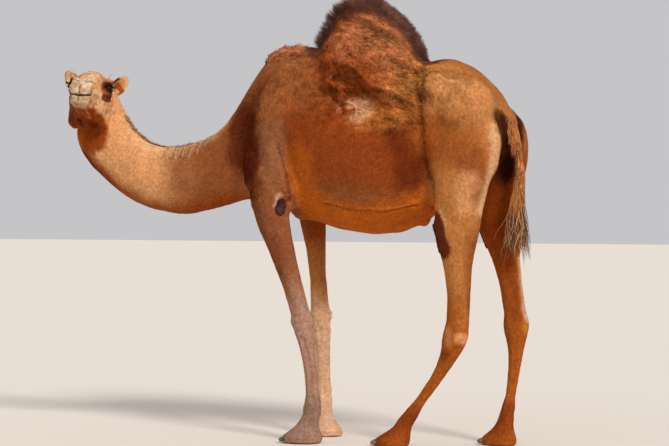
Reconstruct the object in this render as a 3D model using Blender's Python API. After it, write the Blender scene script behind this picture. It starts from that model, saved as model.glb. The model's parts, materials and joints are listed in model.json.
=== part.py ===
"""A standing dromedary camel at life size, as the solids of a still museum model.

The animal is modelled whole, as flesh masses that are fused and relaxed, then parted with thin cuts.
+X is forward along the trunk, +Y is the animal's left, +Z is up. Metres.
The neck hangs low and swings up again, and the head looks back over the left side.
"""

import math

import bmesh
import bpy
import numpy as np
from mathutils import Euler, Matrix, Vector

# ------------------------------------------------------------------------------------------ driving sizes
WITHERS_HEIGHT = 1.885
HUMP_TOP = 2.105
CHEST_FRONT = 0.70
RUMP_END = -0.60
BARREL_HALF_WIDTH = 0.295
HEAD_LENGTH = 0.50
TAIL_TIP_HEIGHT = 0.875

GAP = 0.0005  # air between neighbouring solids
BODY_VOXEL, HEAD_VOXEL = 0.011, 0.005
SIDES = {"left": 1.0, "right": -1.0}
FORWARD, ACROSS, UP = Vector((1, 0, 0)), Vector((0, 1, 0)), Vector((0, 0, 1))

# The trunk from front to rear: forward place, keel height, back height, half width, and how much fuller it is
# below.
TRUNK = (
    (CHEST_FRONT, 1.27, 1.60, 0.085, 0.0),
    (0.64, 1.170, 1.800, 0.135, 0.0),
    (0.56, 1.120, 1.870, 0.165, 0.05),
    (0.46, 1.068, WITHERS_HEIGHT, 0.195, 0.15),
    (0.36, 1.035, 1.885, 0.225, 0.20),
    (0.24, 1.000, 1.870, 0.260, 0.22),
    (0.10, 0.982, 1.850, 0.288, 0.22),
    (-0.02, 0.985, 1.830, BARREL_HALF_WIDTH, 0.20),
    (-0.12, 1.015, 1.815, 0.285, 0.15),
    (-0.22, 1.075, 1.812, 0.240, 0.10),
    (-0.32, 1.150, 1.805, 0.195, 0.0),
    (-0.43, 1.230, 1.755, 0.180, 0.0),
    (-0.53, 1.310, 1.655, 0.145, 0.0),
    (RUMP_END, 1.390, 1.550, 0.080, 0.0),
)

# The hump from its root in the back to the tips of its crest: height, forward place of its middle, half length,
# half width.
HUMP = (
    (1.66, 0.085, 0.300, 0.235),
    (1.76, 0.090, 0.285, 0.225),
    (1.84, 0.095, 0.270, 0.195),
    (1.90, 0.100, 0.255, 0.160),
    (1.96, 0.108, 0.228, 0.125),
    (2.02, 0.120, 0.190, 0.092),
    (2.07, 0.126, 0.138, 0.060),
    (HUMP_TOP, 0.120, 0.062, 0.028),
)

# The neck from the chest to the skull: forward and up of its nape line, forward and up of its throat line, how
# far left it lies, half width.
NECK = (
    (0.540, 1.865, 0.480, 1.100, 0.000, 0.140),
    (0.645, 1.800, 0.600, 1.130, 0.000, 0.138),
    (0.720, 1.698, 0.700, 1.146, 0.000, 0.130),
    (0.790, 1.590, 0.780, 1.135, 0.000, 0.120),
    (0.860, 1.508, 0.860, 1.113, 0.000, 0.111),
    (0.955, 1.452, 0.950, 1.090, 0.000, 0.104),
    (1.050, 1.424, 1.045, 1.073, 0.000, 0.099),
    (1.130, 1.415, 1.160, 1.080, 0.000, 0.096),
    (1.205, 1.420, 1.275, 1.105, 0.000, 0.095),
    (1.270, 1.446, 1.395, 1.160, 0.004, 0.095),
    (1.330, 1.492, 1.500, 1.241, 0.010, 0.095),
    (1.375, 1.550, 1.581, 1.319, 0.018, 0.095),
    (1.405, 1.610, 1.632, 1.395, 0.026, 0.094),
    (1.430, 1.665, 1.648, 1.490, 0.036, 0.086),
    (1.470, 1.690, 1.630, 1.590, 0.044, 0.072),
)

# The joints of each leg from the top down, and the place of its foot on the floor: forward, left, up.
FORELEG_JOINTS = {
    "left": (
        (0.575, 0.140, 1.30), (0.545, 0.165, 1.09), (0.383, 0.160, 0.56), (0.336, 0.155, 0.17),
    ),
    "right": (
        (0.530, -0.140, 1.30), (0.470, -0.165, 1.09), (0.424, -0.165, 0.58), (0.405, -0.160, 0.17),
    ),
}
HINDLEG_JOINTS = {
    "left": (
        (-0.400, 0.120, 1.58), (-0.375, 0.145, 1.05), (-0.362, 0.130, 0.52), (-0.143, 0.120, 0.15),
    ),
    "right": (
        (-0.450, -0.120, 1.58), (-0.492, -0.140, 1.06), (-0.578, -0.120, 0.56), (-0.545, -0.105, 0.17),
    ),
}
FOOT_PLACES = {
    "fore": {"left": (0.392, 0.155), "right": (0.412, -0.165)},
    "hind": {"left": (-0.044, 0.120), "right": (-0.497, -0.105)},
}
FOOT_SIZE = {"fore": 1.0, "hind": 0.88}
TOE_OUT = math.radians(7)

# Girths down a leg: how many joints down, half the thickness fore and aft, half the thickness across.
FORELEG_GIRTHS = (
    (0.00, 0.110, 0.075), (0.60, 0.098, 0.068), (1.00, 0.088, 0.062), (1.15, 0.084, 0.060),
    (1.35, 0.067, 0.052), (1.50, 0.059, 0.046), (1.65, 0.052, 0.042), (1.82, 0.050, 0.042),
    (1.93, 0.052, 0.046), (2.00, 0.054, 0.049), (2.10, 0.049, 0.045), (2.20, 0.042, 0.040),
    (2.35, 0.037, 0.036), (2.55, 0.034, 0.033), (2.75, 0.035, 0.034), (2.90, 0.042, 0.040),
    (3.00, 0.046, 0.044), (3.35, 0.044, 0.044),
)
HINDLEG_GIRTHS = (
    (0.00, 0.110, 0.070), (0.22, 0.150, 0.092), (0.50, 0.157, 0.098), (0.72, 0.142, 0.092),
    (0.90, 0.125, 0.080), (1.00, 0.120, 0.075), (1.10, 0.112, 0.070), (1.23, 0.092, 0.062),
    (1.36, 0.075, 0.054), (1.50, 0.064, 0.048), (1.65, 0.059, 0.044), (1.80, 0.057, 0.043),
    (1.90, 0.059, 0.045), (2.00, 0.066, 0.048), (2.12, 0.056, 0.043), (2.25, 0.042, 0.036),
    (2.45, 0.033, 0.030), (2.70, 0.027, 0.028), (2.85, 0.029, 0.032), (3.00, 0.036, 0.040),
    (3.35, 0.040, 0.042),
)
# How stout each upper leg is, fore and aft.
FORELEG_BULK = {"left": 1.0, "right": 0.82}
HINDLEG_BULK = {"left": 1.0, "right": 0.96}
# A foot from below the sole to the pastern: height, half length, half width, share of the way to the fetlock.
FOOT = (
    (-0.012, 0.100, 0.078, 0.0),
    (0.018, 0.106, 0.084, 0.0),
    (0.040, 0.095, 0.077, 0.12),
    (0.066, 0.072, 0.063, 0.35),
    (0.095, 0.054, 0.049, 0.60),
    (0.135, 0.045, 0.043, 0.85),
)
# The tail from its root to the tips of its tuft: forward, left, up, half thickness fore and aft, half width.
TAIL = (
    (-0.530, 0.012, 1.605, 0.030, 0.036),
    (-0.572, 0.010, 1.539, 0.037, 0.040),
    (-0.604, 0.006, 1.470, 0.038, 0.038),
    (-0.627, 0.003, 1.378, 0.029, 0.032),
    (-0.631, 0.000, 1.285, 0.037, 0.036),
    (-0.622, 0.000, 1.193, 0.046, 0.038),
    (-0.609, 0.000, 1.100, 0.049, 0.038),
    (-0.603, 0.002, 1.008, 0.046, 0.036),
    (-0.590, 0.004, 0.939, 0.030, 0.028),
    (-0.580, 0.006, TAIL_TIP_HEIGHT, 0.010, 0.012),
)
# Root and tip of each ear in the head's frame, and an ear's outline: share of its length, half width, half depth.
EARS = {
    "left": ((0.030, 0.092, 0.088), (0.024, 0.150, 0.180)),
    "right": ((0.030, -0.100, 0.088), (0.022, -0.157, 0.178)),
}
EAR_SHAPE = (
    (0.00, 0.022, 0.020), (0.20, 0.028, 0.023), (0.45, 0.031, 0.021), (0.70, 0.027, 0.016),
    (0.88, 0.018, 0.011), (1.00, 0.007, 0.005),
)
EYE_PLACE, EYE_RADIUS = Vector((0.200, 0.088, 0.078)), 0.0215
# Half width, half height and half thickness of each callused pad, and how far forward the paired ones are.
ELBOW_PAD_SIZE, STIFLE_PAD_SIZE = (0.030, 0.040, 0.012), (0.022, 0.075, 0.010)
CHEST_PAD_SIZE = (0.050, 0.070, 0.016)
ELBOW_PAD_FORWARD, STIFLE_PAD_FORWARD = {"left": 0.457, "right": 0.405}, {"left": -0.20, "right": -0.33}

# The head in its own frame, X from the poll to the lips: place, jaw line, brow line, half width, fuller below.
HEAD = (
    (-0.035, -0.015, 0.110, 0.052, 0.0),
    (0.010, -0.070, 0.146, 0.078, 0.0),
    (0.060, -0.108, 0.162, 0.097, 0.0),
    (0.115, -0.124, 0.167, 0.106, 0.0),
    (0.170, -0.122, 0.168, 0.107, -0.05),
    (0.220, -0.108, 0.155, 0.095, -0.08),
    (0.270, -0.092, 0.133, 0.072, 0.0),
    (0.320, -0.079, 0.111, 0.061, 0.05),
    (0.370, -0.069, 0.094, 0.054, 0.10),
    (0.415, -0.062, 0.083, 0.052, 0.10),
    (0.455, -0.054, 0.068, 0.050, 0.05),
    (0.485, -0.042, 0.048, 0.042, 0.0),
    (HEAD_LENGTH, -0.022, 0.022, 0.024, 0.0),
)
HEAD_YAW, HEAD_PITCH, HEAD_ROLL = math.radians(109), math.radians(6), math.radians(-6)
POLL = Vector((1.565, 0.010, 1.597))
HEAD_TURN = Euler((HEAD_ROLL, -HEAD_PITCH, HEAD_YAW), "XYZ").to_matrix().to_4x4()
HEAD_PLACE = Matrix.Translation(POLL) @ HEAD_TURN


# ------------------------------------------------------------------------------------------ shaping tools
def smooth_run(stations, steps):
    """The stations with steps rows from each to the next, on a curve through them all."""
    points = np.array(stations, float)
    ends = np.vstack([2 * points[0] - points[1], points, 2 * points[-1] - points[-2]])
    rows = []
    for a, b, c, d in zip(ends, ends[1:], ends[2:], ends[3:]):
        slope, bend, twist = c - a, 2 * a - 5 * b + 4 * c - d, 3 * b - a - 3 * c + d
        for t in np.arange(steps) / steps:
            rows.append(0.5 * (2 * b + slope * t + bend * t**2 + twist * t**3))
    rows.append(points[-1])
    return rows


def add_tube(bm, rings, sides=28):
    """A closed tube through rings: centre, half size and direction of each of its two axes, and how much fuller
    it is against the second axis."""
    loops = []
    for centre, (half_a, axis_a), (half_b, axis_b), fuller in rings:
        normal = axis_a.cross(axis_b)
        place = Matrix((axis_a * half_a, axis_b * half_b, normal)).transposed().to_4x4()
        place.translation = centre
        made = bmesh.ops.create_circle(bm, segments=sides, radius=1.0)["verts"]
        for vert in made:
            vert.co.x *= 1.0 - fuller * vert.co.y
        bmesh.ops.transform(bm, matrix=place, verts=made)
        loops.append(list({edge for vert in made for edge in vert.link_edges}))
    for loop, following in zip(loops, loops[1:]):
        bmesh.ops.bridge_loops(bm, edges=loop + following)
    for loop in (loops[0], loops[-1]):
        bmesh.ops.contextual_create(bm, geom=loop)


def add_ball(bm, centre, radii, lean=0.0):
    """An ellipsoid, whose top leans back by lean degrees."""
    place = Matrix.LocRotScale(Vector(centre), Euler((0.0, -math.radians(lean), 0.0)), Vector(radii))
    bmesh.ops.create_icosphere(bm, subdivisions=3, radius=1.0, matrix=place)


def add_pair(bm, centre, radii, lean=0.0):
    """The same ellipsoid on the left and on the right."""
    for side in SIDES.values():
        add_ball(bm, (centre[0], side * centre[1], centre[2]), radii, lean)


def new_object(name, bm):
    bmesh.ops.recalc_face_normals(bm, faces=bm.faces)
    mesh = bpy.data.meshes.new(name)
    bm.to_mesh(mesh)
    bm.free()
    made = bpy.data.objects.new(name, mesh)
    bpy.context.scene.collection.objects.link(made)
    return made


def apply_modifiers(obj):
    """Makes the object's evaluated mesh its own."""
    graph = bpy.context.evaluated_depsgraph_get()
    mesh = bpy.data.meshes.new_from_object(obj.evaluated_get(graph))
    obj.modifiers.clear()
    obj.data = mesh


def fuse(obj, voxel):
    """Makes one closed skin round all of an object's overlapping masses."""
    remesh = obj.modifiers.new("fuse", "REMESH")
    remesh.mode = "VOXEL"
    remesh.voxel_size = voxel
    apply_modifiers(obj)


def points_of(mesh):
    flat = np.empty(len(mesh.vertices) * 3, np.float32)
    mesh.vertices.foreach_get("co", flat)
    return flat.reshape(-1, 3).astype(float)


def relax(obj, rounds, amount=None):
    """Evens the creases between masses, in and out by turns so that no limb gets thinner. The amount is a
    function of the points."""
    mesh = obj.data
    points = points_of(mesh)
    weight = np.ones(len(points)) if amount is None else amount(points)
    ends = np.empty(len(mesh.edges) * 2, np.int32)
    mesh.edges.foreach_get("vertices", ends)
    first, second = ends.reshape(-1, 2).T
    count = len(points)
    share = 1.0 / np.maximum(np.bincount(first, minlength=count) + np.bincount(second, minlength=count), 1)
    for step in (0.5, -0.51) * rounds:
        for axis in range(3):
            values = points[:, axis]
            around = np.bincount(first, values[second], count)
            around += np.bincount(second, values[first], count)
            points[:, axis] = values + step * weight * (around * share - values)
    mesh.vertices.foreach_set("co", points.astype(np.float32).ravel())
    mesh.update()


def distance_to_line(points, line):
    """How far each point is from a line through several places."""
    nearest = np.full(len(points), np.inf)
    if len(line) == 1:
        return np.linalg.norm(points - np.array(line[0]), axis=1)
    for start, end in zip(np.array(line[:-1], float), np.array(line[1:], float)):
        along = end - start
        share = np.clip((points - start) @ along / (along @ along), 0.0, 1.0)
        nearest = np.minimum(nearest, np.linalg.norm(points - start - share[:, None] * along, axis=1))
    return nearest


def press(obj, strokes, place=Matrix.Identity(4)):
    """Presses each stroke into the skin along its normals: the stroke's line, its reach and its depth. A depth
    below nought raises the skin."""
    mesh = obj.data
    points = points_of(mesh)
    normals = np.array([vert.normal for vert in mesh.vertices])
    for line, reach, depth in strokes:
        line = [place @ Vector(point) for point in line]
        near = np.clip(1.0 - distance_to_line(points, line) / reach, 0.0, 1.0)
        points -= normals * (depth * near**2 * (3.0 - 2.0 * near))[:, None]
    mesh.vertices.foreach_set("co", points.astype(np.float32).ravel())
    mesh.update()


def both_sides(strokes):
    """The strokes of the left side, and the same on the right."""
    return [
        ([(x, side * y, z) for x, y, z in line], reach, depth)
        for line, reach, depth in strokes
        for side in SIDES.values()
    ]


def thin_out(obj, triangles):
    """Keeps about that many triangles, most of them where the shape turns."""
    obj.data.calc_loop_triangles()
    decimate = obj.modifiers.new("thin out", "DECIMATE")
    decimate.ratio = min(1.0, triangles / len(obj.data.loop_triangles))
    decimate.use_collapse_triangulate = True
    apply_modifiers(obj)


# ------------------------------------------------------------------------------------------ flesh masses
def trunk_masses(bm):
    rings = []
    for forward, keel, back, half_width, fuller in smooth_run(TRUNK, 3):
        centre = Vector((forward, 0.0, (keel + back) / 2))
        half_depth = (back - keel) / 2
        rings.append((centre, (half_width, ACROSS), (half_depth, UP), fuller))
    add_tube(bm, rings)


def hump_masses(bm):
    rings = []
    for height, forward, half_length, half_width in smooth_run(HUMP, 2):
        centre = Vector((forward, 0.0, height))
        rings.append((centre, (half_length, FORWARD), (half_width, ACROSS), 0.0))
    add_tube(bm, rings)


def neck_masses(bm):
    rings = []
    for nape_x, nape_z, throat_x, throat_z, left, half_width in smooth_run(NECK, 3):
        nape, throat = Vector((nape_x, left, nape_z)), Vector((throat_x, left, throat_z))
        depth = (nape - throat) / 2
        across_depth = (depth.length, depth.normalized())
        rings.append(((nape + throat) / 2, (half_width, ACROSS), across_depth, 0.0))
    add_tube(bm, rings)


def leg_masses(bm, joints, girths, bulk):
    """A leg round the line through its joints."""
    line = np.array(smooth_run(joints, 12))
    places = np.linspace(0.0, len(joints) - 1.0, len(line))
    rings = []
    for down, half_fore, half_across in smooth_run(girths, 2):
        centre = Vector([np.interp(down, places, line[:, axis]) for axis in range(3)])
        above = Vector([np.interp(down - 0.08, places, line[:, axis]) for axis in range(3)])
        below = Vector([np.interp(down + 0.08, places, line[:, axis]) for axis in range(3)])
        along = (below - above).normalized()
        fore = (FORWARD - FORWARD.project(along)).normalized()
        stout = bulk + (1.0 - bulk) * min(max(down - 1.6, 0.0) / 0.4, 1.0)
        rings.append((centre, (half_fore * stout, fore), (half_across, along.cross(fore)), 0.0))
    add_tube(bm, rings, 20)


def foot_masses(bm, place, fetlock, size, side):
    forward = Vector((math.cos(TOE_OUT), side * math.sin(TOE_OUT), 0.0))
    across = Vector((-forward.y, forward.x, 0.0))
    rings = []
    for height, half_length, half_width, share in smooth_run(FOOT, 3):
        centre = Vector((place[0], place[1], height))
        centre.x += (fetlock[0] - place[0]) * share
        centre.y += (fetlock[1] - place[1]) * share
        rings.append((centre, (half_length * size, forward), (half_width * size, across), 0.0))
    add_tube(bm, rings)


def torso_amount(points):
    """One on the broad sides of the trunk, less along the back and none on the legs."""
    above = np.clip((points[:, 2] - 1.02) / 0.20, 0.0, 1.0)
    aside = np.clip((np.abs(points[:, 1]) - 0.02) / 0.06, 0.35, 1.0)
    return above * aside


BODY_STROKES = (
    # Fold of the flank, groove behind the elbow, front edge of the shoulder.
    (
        (
            (-0.195, 0.215, 1.67), (-0.205, 0.240, 1.56), (-0.222, 0.240, 1.40), (-0.238, 0.205, 1.22),
            (-0.235, 0.155, 1.08),
        ),
        0.055,
        0.026,
    ),
    (((0.475, 0.190, 1.46), (0.430, 0.205, 1.30), (0.410, 0.200, 1.20), (0.420, 0.175, 1.10)), 0.040, 0.017),
    (((0.665, 0.110, 1.66), (0.700, 0.125, 1.46), (0.705, 0.120, 1.24)), 0.040, 0.010),
    # Groove down the back of the thigh.
    (((-0.50, 0.160, 1.32), (-0.475, 0.175, 1.18), (-0.445, 0.170, 1.04)), 0.035, 0.007),
)
HEAD_STROKES = (
    # Eye socket, mouth line, nostril, hollow of the cheek, edge of the jaw.
    (((0.200, 0.109, 0.078),), 0.032, 0.007),
    (
        ((0.370, 0.070, -0.004), (0.430, 0.060, 0.001), (0.480, 0.045, 0.004), (0.505, 0.0, 0.004)),
        0.010,
        0.006,
    ),
    (((0.430, 0.046, 0.066), (0.455, 0.036, 0.052)), 0.009, 0.004),
    (((0.300, 0.070, 0.030), (0.360, 0.062, 0.022)), 0.040, 0.005),
    (((0.200, 0.090, -0.100), (0.280, 0.070, -0.070)), 0.030, 0.004),
)


def body_flesh():
    """Trunk, hump, neck and legs as one skin."""
    bm = bmesh.new()
    trunk_masses(bm)
    hump_masses(bm)
    neck_masses(bm)
    # Shoulder blade, point of the shoulder and the muscle behind it.
    add_pair(bm, (0.545, 0.120, 1.55), (0.115, 0.078, 0.28), 20)
    add_pair(bm, (0.625, 0.115, 1.29), (0.095, 0.080, 0.17), -12)
    add_pair(bm, (0.500, 0.145, 1.27), (0.110, 0.070, 0.19), -25)
    # Hip bone and croup.
    add_pair(bm, (-0.285, 0.165, 1.660), (0.075, 0.062, 0.080), 0)
    add_ball(bm, (-0.395, 0.125, 1.570), (0.160, 0.118, 0.160))
    add_ball(bm, (-0.365, -0.125, 1.550), (0.140, 0.110, 0.140))
    # Buttocks, the left one drawn forward by its leg.
    add_ball(bm, (-0.485, 0.105, 1.40), (0.090, 0.068, 0.19), 0)
    add_ball(bm, (-0.555, -0.105, 1.38), (0.090, 0.068, 0.19), 0)
    # The brisket between the forelegs.
    add_ball(bm, (0.395, 0.0, 1.095), (0.115, 0.085, 0.062), 0)
    for name, side in SIDES.items():
        fore_end, hind_end = (*FOOT_PLACES["fore"][name], 0.05), (*FOOT_PLACES["hind"][name], 0.05)
        leg_masses(bm, FORELEG_JOINTS[name] + (fore_end,), FORELEG_GIRTHS, FORELEG_BULK[name])
        leg_masses(bm, HINDLEG_JOINTS[name] + (hind_end,), HINDLEG_GIRTHS, HINDLEG_BULK[name])
        hock = HINDLEG_JOINTS[name][2]
        add_ball(bm, (hock[0] - 0.042, hock[1], hock[2] + 0.012), (0.026, 0.026, 0.050), -8)
        foot_masses(bm, FOOT_PLACES["fore"][name], FORELEG_JOINTS[name][-1], FOOT_SIZE["fore"], side)
        foot_masses(bm, FOOT_PLACES["hind"][name], HINDLEG_JOINTS[name][-1], FOOT_SIZE["hind"], side)
    body = new_object("body_flesh", bm)
    fuse(body, BODY_VOXEL)
    relax(body, 20)
    relax(body, 90, torso_amount)
    press(body, both_sides(BODY_STROKES))
    return body


def head_flesh():
    """The head as one skin, in the world's frame."""
    bm = bmesh.new()
    rings = []
    for along, jaw, brow, half_width, fuller in smooth_run(HEAD, 3):
        centre = Vector((along, 0.0, (jaw + brow) / 2))
        half_depth = (brow - jaw) / 2
        rings.append((centre, (half_width, ACROSS), (half_depth, UP), fuller))
    add_tube(bm, rings)
    add_pair(bm, (0.188, 0.080, 0.102), (0.045, 0.030, 0.032), 0)  # brows over the eyes
    add_pair(bm, (0.205, 0.080, 0.050), (0.060, 0.021, 0.020), 0)  # cheek bones
    add_pair(bm, (0.115, 0.070, -0.045), (0.078, 0.038, 0.080), 0)  # jaw muscles
    add_pair(bm, (0.462, 0.024, 0.014), (0.040, 0.029, 0.034), 0)  # upper lip
    add_pair(bm, (0.425, 0.034, 0.050), (0.040, 0.022, 0.028), 0)  # nostrils
    add_ball(bm, (0.452, 0.0, -0.038), (0.045, 0.035, 0.022), 0)  # chin
    bmesh.ops.transform(bm, matrix=HEAD_PLACE, verts=bm.verts)
    neck_masses(bm)
    head = new_object("head_flesh", bm)
    fuse(head, HEAD_VOXEL)
    relax(head, 14)
    press(head, both_sides(HEAD_STROKES), HEAD_PLACE)
    return head


# ------------------------------------------------------------------------------------------ small parts
def ear_solid(name, side):
    """A short rounded ear, hollow in front. The left one is turned further out than the right one."""
    bm = bmesh.new()
    root, tip = EARS[name]
    along = Vector(tip) - Vector(root)
    fore = Vector((0.80, side * 0.60, 0.0))
    fore = (fore - fore.project(along)).normalized()
    across = along.normalized().cross(fore)
    rings = []
    for share, half_width, half_depth in smooth_run(EAR_SHAPE, 2):
        centre = Vector(root) + along * share
        rings.append((centre, (half_width, across), (half_depth, fore), 0.0))
    add_tube(bm, rings, 18)
    bmesh.ops.triangulate(bm, faces=bm.faces)
    bmesh.ops.subdivide_edges(bm, edges=bm.edges, cuts=1, use_grid_fill=True)
    ear = new_object("ear_" + name, bm)
    hollow = Vector(root) + along * 0.55 + fore * 0.022
    press(ear, [([hollow - along * 0.22, hollow + along * 0.18], 0.030, 0.017)])
    thin_out(ear, 160)
    ear.data.transform(HEAD_PLACE)
    return ear


def ball_solid(name, centre, radii, place=Matrix.Identity(4), subdivisions=2):
    bm = bmesh.new()
    matrix = place @ Matrix.LocRotScale(Vector(centre), None, Vector(radii))
    bmesh.ops.create_icosphere(bm, subdivisions=subdivisions, radius=1.0, matrix=matrix)
    return new_object(name, bm)


def tail_solid():
    bm = bmesh.new()
    rings = []
    rows = smooth_run(TAIL, 2)
    for index, (forward, left, height, half_fore, half_across) in enumerate(rows):
        before, after = rows[max(index - 1, 0)], rows[min(index + 1, len(rows) - 1)]
        along = Vector(after[:3] - before[:3]).normalized()
        fore = (FORWARD - FORWARD.project(along)).normalized()
        centre = Vector((forward, left, height))
        rings.append((centre, (half_fore, fore), (half_across, along.cross(fore)), 0.0))
    add_tube(bm, rings, 14)
    return new_object("tail_all", bm)


def pad_solid(name, host, place, size, outward, lean=0.0):
    """A low leathery pad on the skin nearest to a place: size is half its width, half its height and half its
    thickness, and its long axis leans forward by lean degrees."""
    _, on_skin, normal, _ = host.closest_point_on_mesh(Vector(place))
    normal = (normal + Vector(outward)).normalized()
    up = Vector((math.sin(math.radians(lean)), 0.0, math.cos(math.radians(lean))))
    if abs(normal.z) > 0.8:
        up = Vector((1.0, 0.0, 0.0))
    across = up.cross(normal).normalized()
    up = normal.cross(across)
    lying = Matrix((across, up, normal)).transposed().to_4x4()
    lying.translation = on_skin
    return ball_solid(name, (0.0, 0.0, 0.0), size, lying)


# ------------------------------------------------------------------------------------------ parting
def copy_of(obj, name):
    made = bpy.data.objects.new(name, obj.data.copy())
    bpy.context.scene.collection.objects.link(made)
    return made


def keep_behind(obj, planes, spare):
    """Keeps what lies within every plane. A plane is one of its points and its normal, which points away from
    what is kept. The spare is how far outside the planes the cuts are made."""
    bm = bmesh.new()
    bm.from_mesh(obj.data)
    for point, normal in planes:
        normal = Vector(normal).normalized()
        cut = bmesh.ops.bisect_plane(
            bm,
            geom=bm.verts[:] + bm.edges[:] + bm.faces[:],
            dist=0.00001,
            plane_co=Vector(point) + normal * spare,
            plane_no=normal,
            clear_outer=True,
        )
        edges = [item for item in cut["geom_cut"] if isinstance(item, bmesh.types.BMEdge)]
        filled = bmesh.ops.holes_fill(bm, edges=edges, sides=0)["faces"]
        bmesh.ops.triangulate(bm, faces=filled)
    bm.to_mesh(obj.data)
    bm.free()


def keep_nearest(obj, place):
    """Keeps the loose piece that comes nearest to a place."""
    bm = bmesh.new()
    bm.from_mesh(obj.data)
    left = set(bm.verts)
    pieces = []
    while left:
        seed = left.pop()
        piece, edge_of = {seed}, [seed]
        while edge_of:
            vert = edge_of.pop()
            for edge in vert.link_edges:
                other = edge.other_vert(vert)
                if other in left:
                    left.discard(other)
                    piece.add(other)
                    edge_of.append(other)
        pieces.append(piece)
    pieces.sort(key=lambda piece: min((vert.co - Vector(place)).length for vert in piece))
    for piece in pieces[1:]:
        bmesh.ops.delete(bm, geom=list(piece), context="VERTS")
    bm.to_mesh(obj.data)
    bm.free()


def cut_away(obj, cutter, spare=0.0):
    """Cuts one solid out of another, grown by the spare first."""
    tool = copy_of(cutter, "cutter")
    if spare:
        press(tool, [([Vector((0, 0, 0))], 1000.0, -spare)])
    boolean = obj.modifiers.new("cut", "BOOLEAN")
    boolean.operation = "DIFFERENCE"
    boolean.solver = "EXACT"
    boolean.object = tool
    apply_modifiers(obj)
    bpy.data.objects.remove(tool)


def cell(planes, spare):
    """A large block bounded by the planes, each moved outward by the spare."""
    bm = bmesh.new()
    bmesh.ops.create_cube(bm, size=8.0)
    made = new_object("cell", bm)
    keep_behind(made, planes, spare)
    return made


def cut_cell(obj, planes):
    """Takes the space within the planes out of a solid."""
    tool = cell(planes, GAP / 2)
    cut_away(obj, tool)
    bpy.data.objects.remove(tool)


def node(name, flesh, planes, near, triangles):
    """One named solid of the animal: the flesh within the planes, with about that many triangles."""
    made = copy_of(flesh, name)
    keep_behind(made, planes, 0.012)
    keep_nearest(made, near)
    thin_out(made, triangles)
    keep_behind(made, planes, -GAP / 2)
    keep_nearest(made, near)
    return made


# ------------------------------------------------------------------------------------------ the whole animal
COAT_COLOURS = {
    "sand": (0.50, 0.26, 0.12),
    "ochre": (0.56, 0.32, 0.15),
    "dark": (0.13, 0.06, 0.035),
    "pale": (0.66, 0.50, 0.36),
    "rufous": (0.34, 0.15, 0.07),
    "callus": (0.12, 0.08, 0.06),
    "nail": (0.16, 0.13, 0.11),
    "eye": (0.012, 0.008, 0.006),
}
COLOUR_OF = (
    ("eye_", "eye", 0.08), ("nail_", "nail", 0.45), ("pad_", "callus", 0.85), ("ear_", "ochre", 0.9),
    ("hump", "dark", 0.95), ("tail_tuft", "dark", 0.9), ("tail", "ochre", 0.9), ("neck", "ochre", 0.9),
    ("head", "ochre", 0.9), ("jaw", "pale", 0.85), ("foot_fore", "pale", 0.9), ("foot_hind", "rufous", 0.9),
    ("foreleg_left_lower", "pale", 0.9), ("foreleg_right_lower", "pale", 0.9), ("hindleg", "rufous", 0.9),
)


def paint(obj):
    """Gives a node its own material."""
    colour, roughness = "sand", 0.9
    for start, name, rough in COLOUR_OF:
        if obj.name.startswith(start):
            colour, roughness = name, rough
            break
    material = bpy.data.materials.new(obj.name)
    material.use_nodes = True
    shader = material.node_tree.nodes["Principled BSDF"]
    shader.inputs["Base Color"].default_value = (*COAT_COLOURS[colour], 1.0)
    shader.inputs["Roughness"].default_value = roughness
    shader.inputs["Metallic"].default_value = 0.0
    material.diffuse_color = (*COAT_COLOURS[colour], 1.0)
    obj.data.materials.clear()
    obj.data.materials.append(material)
    obj.data.polygons.foreach_set("use_smooth", [True] * len(obj.data.polygons))


NECK_ROOT = ((0.700, 0, 1.40), (1, 0, 0.08))
NECK_BREAK = ((1.020, 0, 1.25), (1, 0, 0.02))
NECK_BEND = ((1.310, 0, 1.30), (0.86, 0, 0.50))
# The head's own space: ahead of and above a slope from throat to nape, and between two walls beside it.
HEAD_SPACE = (
    ((0.115, 0.0, -0.148), (-0.62, 0.0, -0.785)),
    ((0.0, 0.128, 0.0), (0.0, 1.0, 0.0)),
    ((0.0, -0.140, 0.0), (0.0, -1.0, 0.0)),
)
HUMP_ROOT, HUMP_FRONT, HUMP_REAR = ((0.371, 0, 1.888), (-0.134, 0, 1)), 0.388, -0.218
JAW_CUT = (HEAD_PLACE @ Vector((0.20, 0.0, -0.052)), (HEAD_TURN @ Vector((0.16, 0.0, -0.9))).to_tuple())
JAW_REAR = (HEAD_PLACE @ Vector((0.205, 0.0, 0.0)), (HEAD_TURN @ Vector((1.0, 0.0, 0.45))).to_tuple())
# Forward and up of the corner behind each foreleg, where it leaves the trunk.
ELBOW_CUT = {"left": (0.428, 1.120), "right": (0.372, 1.105)}
THIGH_FRONT, THIGH_TOP, THIGH_BOTTOM = -0.238, 1.45, 1.06
STIFLE_FRONT = ((THIGH_FRONT, 0.0, THIGH_BOTTOM), (0.95, 0.0, 0.31))
# Heights of the cuts through knee and fetlock, and through hock and fetlock.
LEG_CUTS = {
    "fore": {"left": (0.555, 0.165), "right": (0.575, 0.165)},
    "hind": {"left": (0.51, 0.15), "right": (0.55, 0.165)},
}
BETWEEN_LEGS = 0.17
TUFT_TOP = 1.10
# A place inside each node that the tail is let into.
PIECE_PLACES = {
    "trunk": (0.0, 0.0, 1.8),
    "thigh_left": (-0.40, 0.20, 1.25),
    "thigh_right": (-0.40, -0.20, 1.25),
    "hindleg_right_upper": (-0.50, -0.15, 0.90),
}
HEAD_TRIANGLES, NECK_TRIANGLES, TRUNK_TRIANGLES, HUMP_TRIANGLES = 1340, 410, 1130, 250


def turned(cut):
    """The same cut, keeping its other side."""
    return (cut[0], tuple(-value for value in cut[1]))


def above(height):
    return ((0.0, 0.0, height), (0.0, 0.0, -1.0))


def below(height):
    return ((0.0, 0.0, height), (0.0, 0.0, 1.0))


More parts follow.
